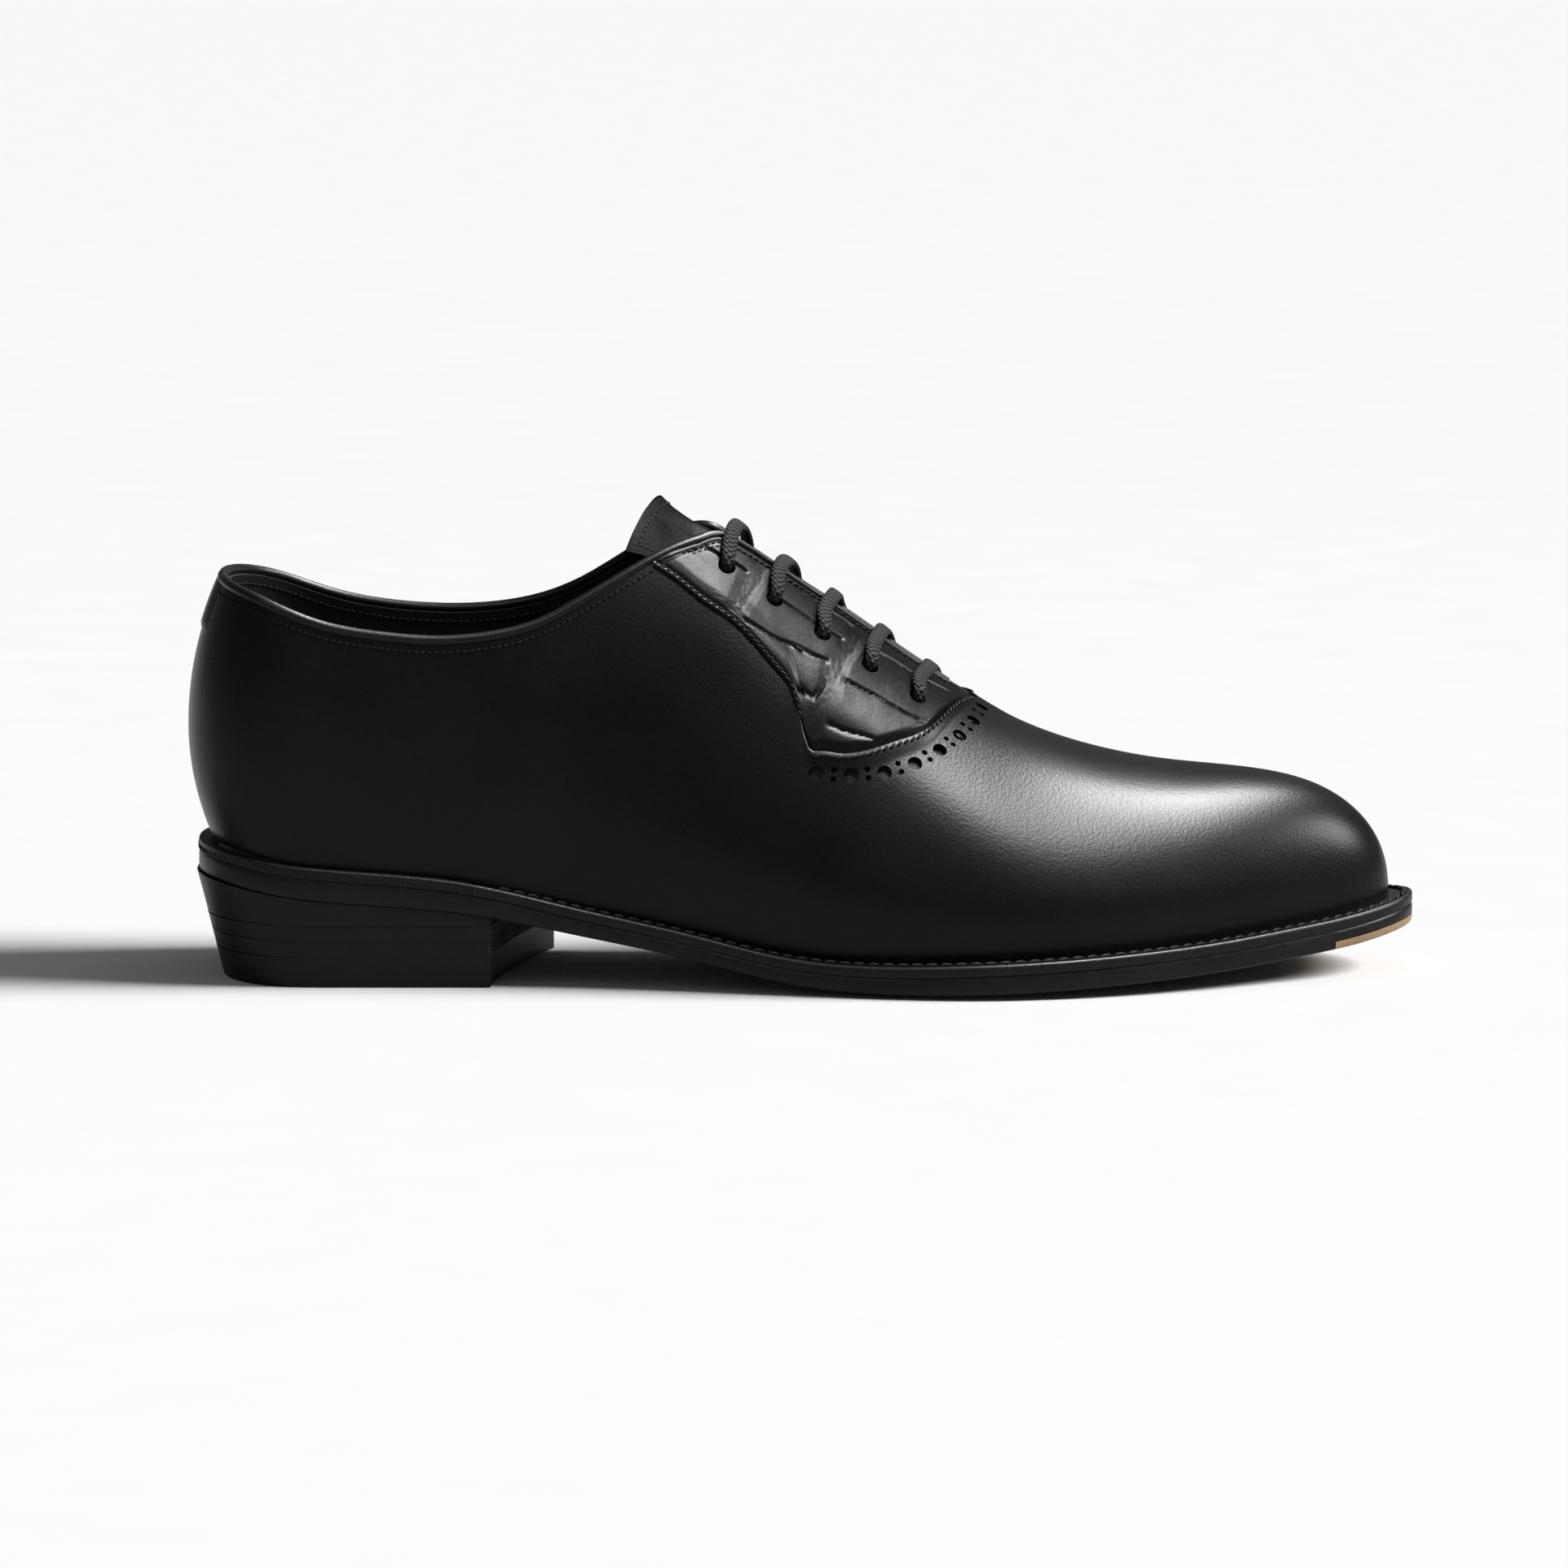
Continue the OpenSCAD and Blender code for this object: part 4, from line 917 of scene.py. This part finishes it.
# The wheeled marks round the rand
gap = resample(path, 0.95)
t = tangents(gap)
inward = np.stack([t[:, 1], -t[:, 0]], -1)
mark = np.concatenate([gap - 0.02 * inward, (foot_z(gap[:, 0]) - 2.0)[:, None]], -1)
verts, faces, a = [], [], 0
for p, n, d in zip(mark, inward, t):
    for k in (-0.62, 0.62):
        for w in (-0.2, 0.2):
            verts.append([*(p[:2] + d * w + n * 0.3), p[2] + k])
    verts += [[*(p[:2] - n * 0.14), p[2] + k * 0.6] for k in (-1, 1)]
    faces += [[a, a + 4, a + 5, a + 2], [a + 1, a + 3, a + 5, a + 4], [a, a + 1, a + 4],
              [a + 2, a + 5, a + 3], [a, a + 2, a + 3, a + 1]]
    a += 6
add("rand_wheel_marks", verts, faces, slot="sole_leather", materials=[WELT], smooth=20)


def plate(name, lat, med, wall, top, bottom, front=None, **kw):
    """A slab between its two side outlines, given from one end to the other.
    wall is the edge's profile as (inset, share of the height), and top and bottom give z."""
    in_l, in_m = (k * tangents(edge)[:, ::-1] * [-1, 1] for k, edge in ((1, lat), (-1, med)))
    for end, inwards in ((0, [1, 0]), (-1, [-1, 0])):
        if np.allclose(lat[end], med[end], atol=0.3):
            in_l[end] = in_m[end] = inwards
            lat[end] = med[end] = (lat[end] + med[end]) / 2
    rings = []
    wall = np.array(wall, float)

    def level(xy, share):
        return bottom(xy) + (top(xy) - bottom(xy)) * share

    def at(xy, share):
        return np.concatenate([xy, level(xy, share)[:, None]], -1)

    for inset, share in wall:
        rings.append(at(lat + inset * in_l, share))
    v = np.linspace(0, 1, 14)[1:-1]
    a, b = lat + wall[-1, 0] * in_l, med + wall[-1, 0] * in_m
    for w in v:
        rings.append(at(a + (b - a) * w, 1.0))
    for inset, share in wall[::-1]:
        rings.append(at(med + inset * in_m, share))
    a, b = lat + wall[0, 0] * in_l, med + wall[0, 0] * in_m
    for w in v[::-1]:
        rings.append(at(a + (b - a) * w, 0.0))
    pts = np.stack(rings, 1)
    if front is not None:
        pts = front(pts)
    n, m = pts.shape[:2]
    faces = grid_faces(n, m, closed=True).tolist()
    faces += [list(range(m))[::-1], [(n - 1) * m + j for j in range(m)]]
    return add(name, pts.reshape(-1, 3), faces, **kw)


def bow(xy):
    x, y = xy[:, 0], xy[:, 1]
    half = np.where(y < centre_y(x), sole_half(x, -1), sole_half(x, 1))
    v = np.clip(np.abs(y - centre_y(x)) / np.maximum(half, 1), 0, 1)
    return ease((x - 60) / 50) * ease((275 - x) / 50) * (1 - v * v)


def recess(x):
    return np.where(x > TOE_PIECE + 0.02, TOE_PIECE_T + 0.08, 0.0)


sole_stations = np.unique(np.round(np.concatenate([
    stations(SOLE_BACK, SOLE_TIP, 1.5, True, True), [TOE_PIECE, TOE_PIECE + 0.05]]), 4))
SOLE_WALL = [(0.5, 0.0), (0.16, 0.05), (0.03, 0.14), (0, 0.3), (0, 0.72), (0.1, 0.88), (0.28, 1.0)]
plate("outsole_leather", outline(sole_stations, -1), outline(sole_stations, 1), SOLE_WALL,
      lambda p: foot_z(p[:, 0]) - WELT_T - 0.16,
      lambda p: sole_z(p[:, 0]) - np.where(p[:, 0] < TOE_PIECE + 0.02, bow(p), 0) + recess(p[:, 0]),
      nodes=["outsole"], slot="sole_leather", materials=[SOLE])
tip_x = np.concatenate([[TOE_PIECE + 0.15], sole_stations[sole_stations > TOE_PIECE + 0.3]])
plate("toe_piece_leather", outline(tip_x, -1), outline(tip_x, 1),
      [(0.45, 0.0), (0.12, 0.2), (0, 0.45), (0, 1.0)],
      lambda p: sole_z(p[:, 0]) + TOE_PIECE_T, lambda p: sole_z(p[:, 0]) - bow(p),
      nodes=["toe_piece"], slot="toe_piece_leather", materials=[TAN])

# ---------------- heel


def heel_side(z, side, breast):
    fall = np.clip(1 - z / TAPER_HEIGHT, 0, 1)
    end = -SOLE_BACK - TAPER_BACK * fall
    half = HEEL_HALF - TAPER_SIDE * fall - 0.5 * max(0, side)
    t = np.linspace(0, math.pi / 2, 40)
    x = -end + (breast + end) * (1 - np.cos(t))
    return np.stack([x, side * half * cap(-x, 5, end, 2.3)], -1)


def heel_layer(name, low, high, nodes, slot, side_mat, front_mat):
    def shaped(pts):
        n = len(pts)
        share = (np.arange(n) / (n - 1))[:, None] ** 6
        half = np.abs(pts[..., 1]).max(1, keepdims=True) + 1e-6
        hollow = BREAST_HOLLOW * np.clip(1 - (pts[..., 1] / half) ** 2, 0, 1)
        pts[..., 0] -= share * hollow
        return pts

    mid = (low + high) / 2
    lat, med = heel_side(mid, -1, BREAST_LATERAL), heel_side(mid, 1, BREAST_MEDIAL)
    ends = [heel_side(z, -1, BREAST_LATERAL)[:, 1] for z in (low, high)]
    grow = abs((ends[1] - ends[0]).min() / 2)
    back_grow = TAPER_BACK * (high - low) / TAPER_HEIGHT / 2

    def top(p):
        return np.maximum(np.minimum(high, sole_z(p[:, 0]) - 0.08), low + 0.02)

    def slanted(pts):
        pts = shaped(pts)
        share = (pts[..., 2] - mid) / max(high - low, 0.1) * 2
        pts[..., 1] += np.sign(pts[..., 1]) * share * grow * (np.abs(pts[..., 1]) > 5)
        rear = ease((12 - pts[..., 0]) / 45)
        pts[..., 0] -= rear * share * back_grow
        return pts

    obj = plate(name, lat, med, [(0.02, 0.0), (0, 0.02), (0, 0.5), (0, 0.98), (0.02, 1.0)],
                top, lambda p: low + 0 * p[:, 0], front=slanted, nodes=nodes, slot=slot,
                materials=[side_mat, front_mat], smooth=40)
    for poly in obj.data.polygons:
        if poly.normal.x > 0.75:
            poly.material_index = 1
    return obj


levels = [TOP_PIECE, TOP_PIECE + LIFT, TOP_PIECE + 2 * LIFT, HEEL_TOP]
heel_layer("heel_rubber", 0, TOP_PIECE, ["heel_top_piece"], "rubber", RUBBER, RUBBER)
for i, word in enumerate(("lower", "middle", "upper")):
    heel_layer(f"heel_lift_{i + 1}", levels[i] + 0.02, levels[i + 1], [f"heel_lift_{word}"],
               "heel_leather", HEEL, BREAST)

# ---------------- sock


def inner_side(x, side, inset, end_inset):
    z = foot_z(x)
    u = x - np.clip(1 - (x + 40) / 60, 0, None) ** 2 * 0.0078 * (z - 62) ** 2
    width, bulge = half_width(u, side)
    ends = cap(u, 165, TIP - end_inset, 2.25) * cap(-u, 8, -BACK - end_inset, 2.3)
    return np.stack([x, centre_y(x) + side * (width - bulge - inset) * ends], -1)


x = stations(BACK + 15, 62, 1.5, True)
lift_z = 2.65 + 3 + 0.08
plate("heel_sock_leather", inner_side(x, -1, 5.5, 7), inner_side(x, 1, 5.5, 7),
      [(0, 0.0), (0, 0.7), (0.3, 1.0)], lambda p: foot_z(p[:, 0]) + lift_z + 0.8,
      lambda p: foot_z(p[:, 0]) + lift_z, nodes=["heel_sock"], slot="lining_leather",
      materials=[LINING])

# ---------------- lace

LACE_ROUTE = [
    (7, 23.5, 37), (23, 23, 35.5), (40, 22, 32.5), (57, 20, 28.5), (73, 17.5, 26),
    (86.5, 22.5, 45), (94.5, 20.5, 62.5), (100.5, 17.5, 76.5), (108, 14, 84.5), (110, 10.5, 89.5),
    (112, 15, 91.5), (112.5, 13, 95.5), (111.5, 8, 101), (110.5, 2, 102.4), (109, -7, 102.5),
    (108, -14, 99), (107.5, -16.5, 95.5), (105, -13, 92), (111.5, -16.5, 83.5),
    (117.5, -18, 77.5), (123, -17.5, 75), (128.5, -14.5, 75), (131, -17.5, 79),
    (131.5, -14.5, 82), (133, -6, 84.5), (134.5, 3.5, 85), (135.5, 10.5, 82.5), (136, 16, 79),
    (135.5, 18.5, 75.5), (134, 15, 73), (139.5, 16.5, 68.5), (145.5, 18, 64), (147, 21.5, 68),
    (147.5, 18.5, 71), (147, 12, 74.5), (146, 4.5, 75.9), (145, -6, 76), (143, -14.5, 74),
    (143, -18, 71.5), (140.5, -15, 67), (134.5, -12, 72.5), (129, -10.5, 77), (123, -11, 80.5),
    (117, -13.5, 83), (119.5, -17, 87), (119.5, -14, 90), (121, -6.5, 93.5), (122.5, 2.5, 94),
    (123, 9, 91.5), (124, 14, 87), (123.5, 16.5, 83.5), (121.5, 12.5, 81), (117, 13.8, 80.3),
    (111, 14.8, 81.2), (105, 13, 89), (98, 9.5, 97.5), (100, 14, 99.5), (100.5, 12.5, 104),
    (99.5, 7.5, 109.5), (98.5, 1.5, 111.4), (97, -7, 111), (96, -13.5, 107), (95.5, -16, 103.5),
    (94, -12, 100), (92.5, -16, 94), (89, -21.5, 82.5), (83.5, -25.5, 67), (76, -27, 48.5),
    (61.5, -23, 28.5), (45.5, -22.5, 31.5), (28.5, -23, 35), (14, -23, 36.5), (0, -22, 38)]
BARS = [(110.5, 2, 102.4), (134.5, 3.5, 85), (146, 4.5, 75.9), (122.5, 2.5, 94), (98.5, 1.5, 111.4)]
LACE_W, LACE_T = 4.0, 1.7

route = np.array(LACE_ROUTE, float)
at = np.concatenate([[0], np.cumsum(np.linalg.norm(np.diff(route, axis=0), axis=1))])
axes = [spline(np.stack([at, route[:, k]], -1)) for k in range(3)]
fine = np.linspace(0, at[-1], 1400)
route = resample(np.stack([f(fine) for f in axes], -1), 0.7)
tan = tangents(route)

# The flat side turns as little as it can from bar to bar, and lies across the facings on each
keys = sorted(int(np.argmin(np.linalg.norm(route - b, axis=1))) for b in BARS)
want = {k: unit(np.cross(np.cross(tan[k], [1.0, 0, -0.74]), tan[k])) for k in keys}


def carried(b, start, stop):
    out = [b]
    step = 1 if stop > start else -1
    for i in range(start + step, stop + step, step):
        b = unit(b - np.dot(b, tan[i]) * tan[i])
        out.append(b)
    return out


across = np.zeros_like(route)
for k, key in enumerate(keys):
    end = keys[k + 1] if k + 1 < len(keys) else len(route) - 1
    run = carried(want[key], key, end)
    miss = 0.0
    if end in want:
        b, w = run[-1], want[end]
        miss = math.atan2(np.dot(np.cross(b, w), tan[end]), np.dot(b, w))
        miss -= math.pi * round(miss / math.pi)
    for j, b in enumerate(run):
        turn = miss * ease((j / max(1, len(run) - 1) - 0.25) / 0.5)
        across[key + j] = b * math.cos(turn) + np.cross(tan[key + j], b) * math.sin(turn)
across[:keys[0] + 1] = np.array(carried(want[keys[0]], keys[0], 0))[::-1]
for i in range(1, len(route)):
    if np.dot(across[i], across[i - 1]) < 0:
        across[i] = -across[i]
facing_n = np.cross(tan, across)

# Gathered together where it goes through a hole
pinch = np.zeros(len(route))
for side in (-1, 1):
    for hx in lace_holes(side):
        d = np.linalg.norm(route - lift(hx, side, HOLE_ANGLE, np.array(-0.6)), axis=1)
        pinch = np.maximum(pinch, np.exp(-(d / 3.2) ** 2))
half_w = LACE_W / 2 * (1 - 0.3 * pinch)
half_t = LACE_T / 2 * (1 + 0.3 * pinch)
verts, faces = tube(route, facing_n, half_w, half_t, 20, power=2.9)
run = np.concatenate([[0], np.cumsum(np.linalg.norm(np.diff(route, axis=0), axis=1))])
round_lace = 2 * (LACE_W + LACE_T)
girth = round_lace * np.arange(20) / 20
uv = np.stack([np.repeat(run, 20), np.tile(np.minimum(girth, round_lace - girth), len(run))], -1)
lace = add("lace_braid", verts, faces, nodes=["lace"], slot="braid", materials=[BRAID], uv=uv,
           smooth=60)

tips = []
for name, p, q in (("aglet_inner", route[0], route[3]), ("aglet_outer", route[-1], route[-4])):
    d = unit(p - q)
    along = np.array([-1.2, -1.1, 0, 4, 8, 12, 16, 17.2, 17.7, 17.9])
    line = p + along[:, None] * d
    radius = np.array([1.05, 1.25, 1.3, 1.27, 1.27, 1.27, 1.25, 1.15, 0.9, 0.4])
    n = np.broadcast_to(unit(np.cross(d, [0.2, 1.0, 0.3])), line.shape)
    verts, faces = tube(line, n, radius, radius, 16)
    tips.append(add(name, verts, faces, nodes=["aglets"] if not tips else (), slot="aglet_plastic",
                    materials=[PLASTIC]))

# ---------------- floor, lights and camera

FLOOR_HALF = 40000
corners = [(-FLOOR_HALF, -FLOOR_HALF, 0), (FLOOR_HALF, -FLOOR_HALF, 0),
           (FLOOR_HALF, FLOOR_HALF, 0), (-FLOOR_HALF, FLOOR_HALF, 0)]
floor = new_object("floor", corners, [(0, 1, 2, 3)])
white = material("floor", (0.9, 0.9, 0.9), 0.95, 0.02, grain=30, specular=0.05,
                 colour2=(0.92, 0.92, 0.92))
floor.data.materials.append(white)

world = bpy.data.worlds.new("studio")
bpy.context.scene.world = world
world.use_nodes = True
nodes, wire = world.node_tree.nodes, world.node_tree.links.new
sky = nodes["Background"]
sky.inputs["Color"].default_value = (1, 1, 1, 1)
seen = nodes.new("ShaderNodeLightPath")
strength = nodes.new("ShaderNodeMapRange")
strength.inputs["To Min"].default_value = 0.12
strength.inputs["To Max"].default_value = 1.1
wire(seen.outputs["Is Camera Ray"], strength.inputs["Value"])
wire(strength.outputs["Result"], sky.inputs["Strength"])
bpy.context.scene.view_settings.view_transform = "Standard"


def lamp(name, kind, place, aim, power, **settings):
    """A lamp that faces a point. A softbox shows in the leather's gloss and not on the floor."""
    light = bpy.data.lights.new(name, kind)
    light.energy = power
    for key, value in settings.items():
        setattr(light, key, value)
    obj = bpy.data.objects.new(name, light)
    obj.location = place
    obj.rotation_euler = (Vector(aim) - Vector(place)).to_track_quat("-Z", "Y").to_euler()
    obj.visible_diffuse = kind == "SUN"
    bpy.context.scene.collection.objects.link(obj)


lamp("sun", "SUN", (1.6, -0.1, 1.1), (0, 0, 0), 5.2, angle=math.radians(24))
lamp("softbox_above", "AREA", (0.5, 0.02, 1.2), (0.16, 0, 0.05), 135, shape="RECTANGLE",
     size=1.3, size_y=0.34)
lamp("softbox_front", "AREA", (-0.5, -1.2, 1.3), (0.1, 0, 0.05), 9, shape="RECTANGLE",
     size=0.8, size_y=0.8)

TARGET = Vector((0.1095, 0, 0.0464))
tilt = math.radians(8)
camera = bpy.data.cameras.new("camera")
camera.sensor_width = 36
camera.lens = 165.52
eye = bpy.data.objects.new("camera", camera)
eye.location = TARGET + 1.8 * Vector((0, -math.cos(tilt), math.sin(tilt)))
eye.rotation_euler = (TARGET - eye.location).to_track_quat("-Z", "Y").to_euler()
bpy.context.scene.collection.objects.link(eye)
bpy.context.scene.camera = eye
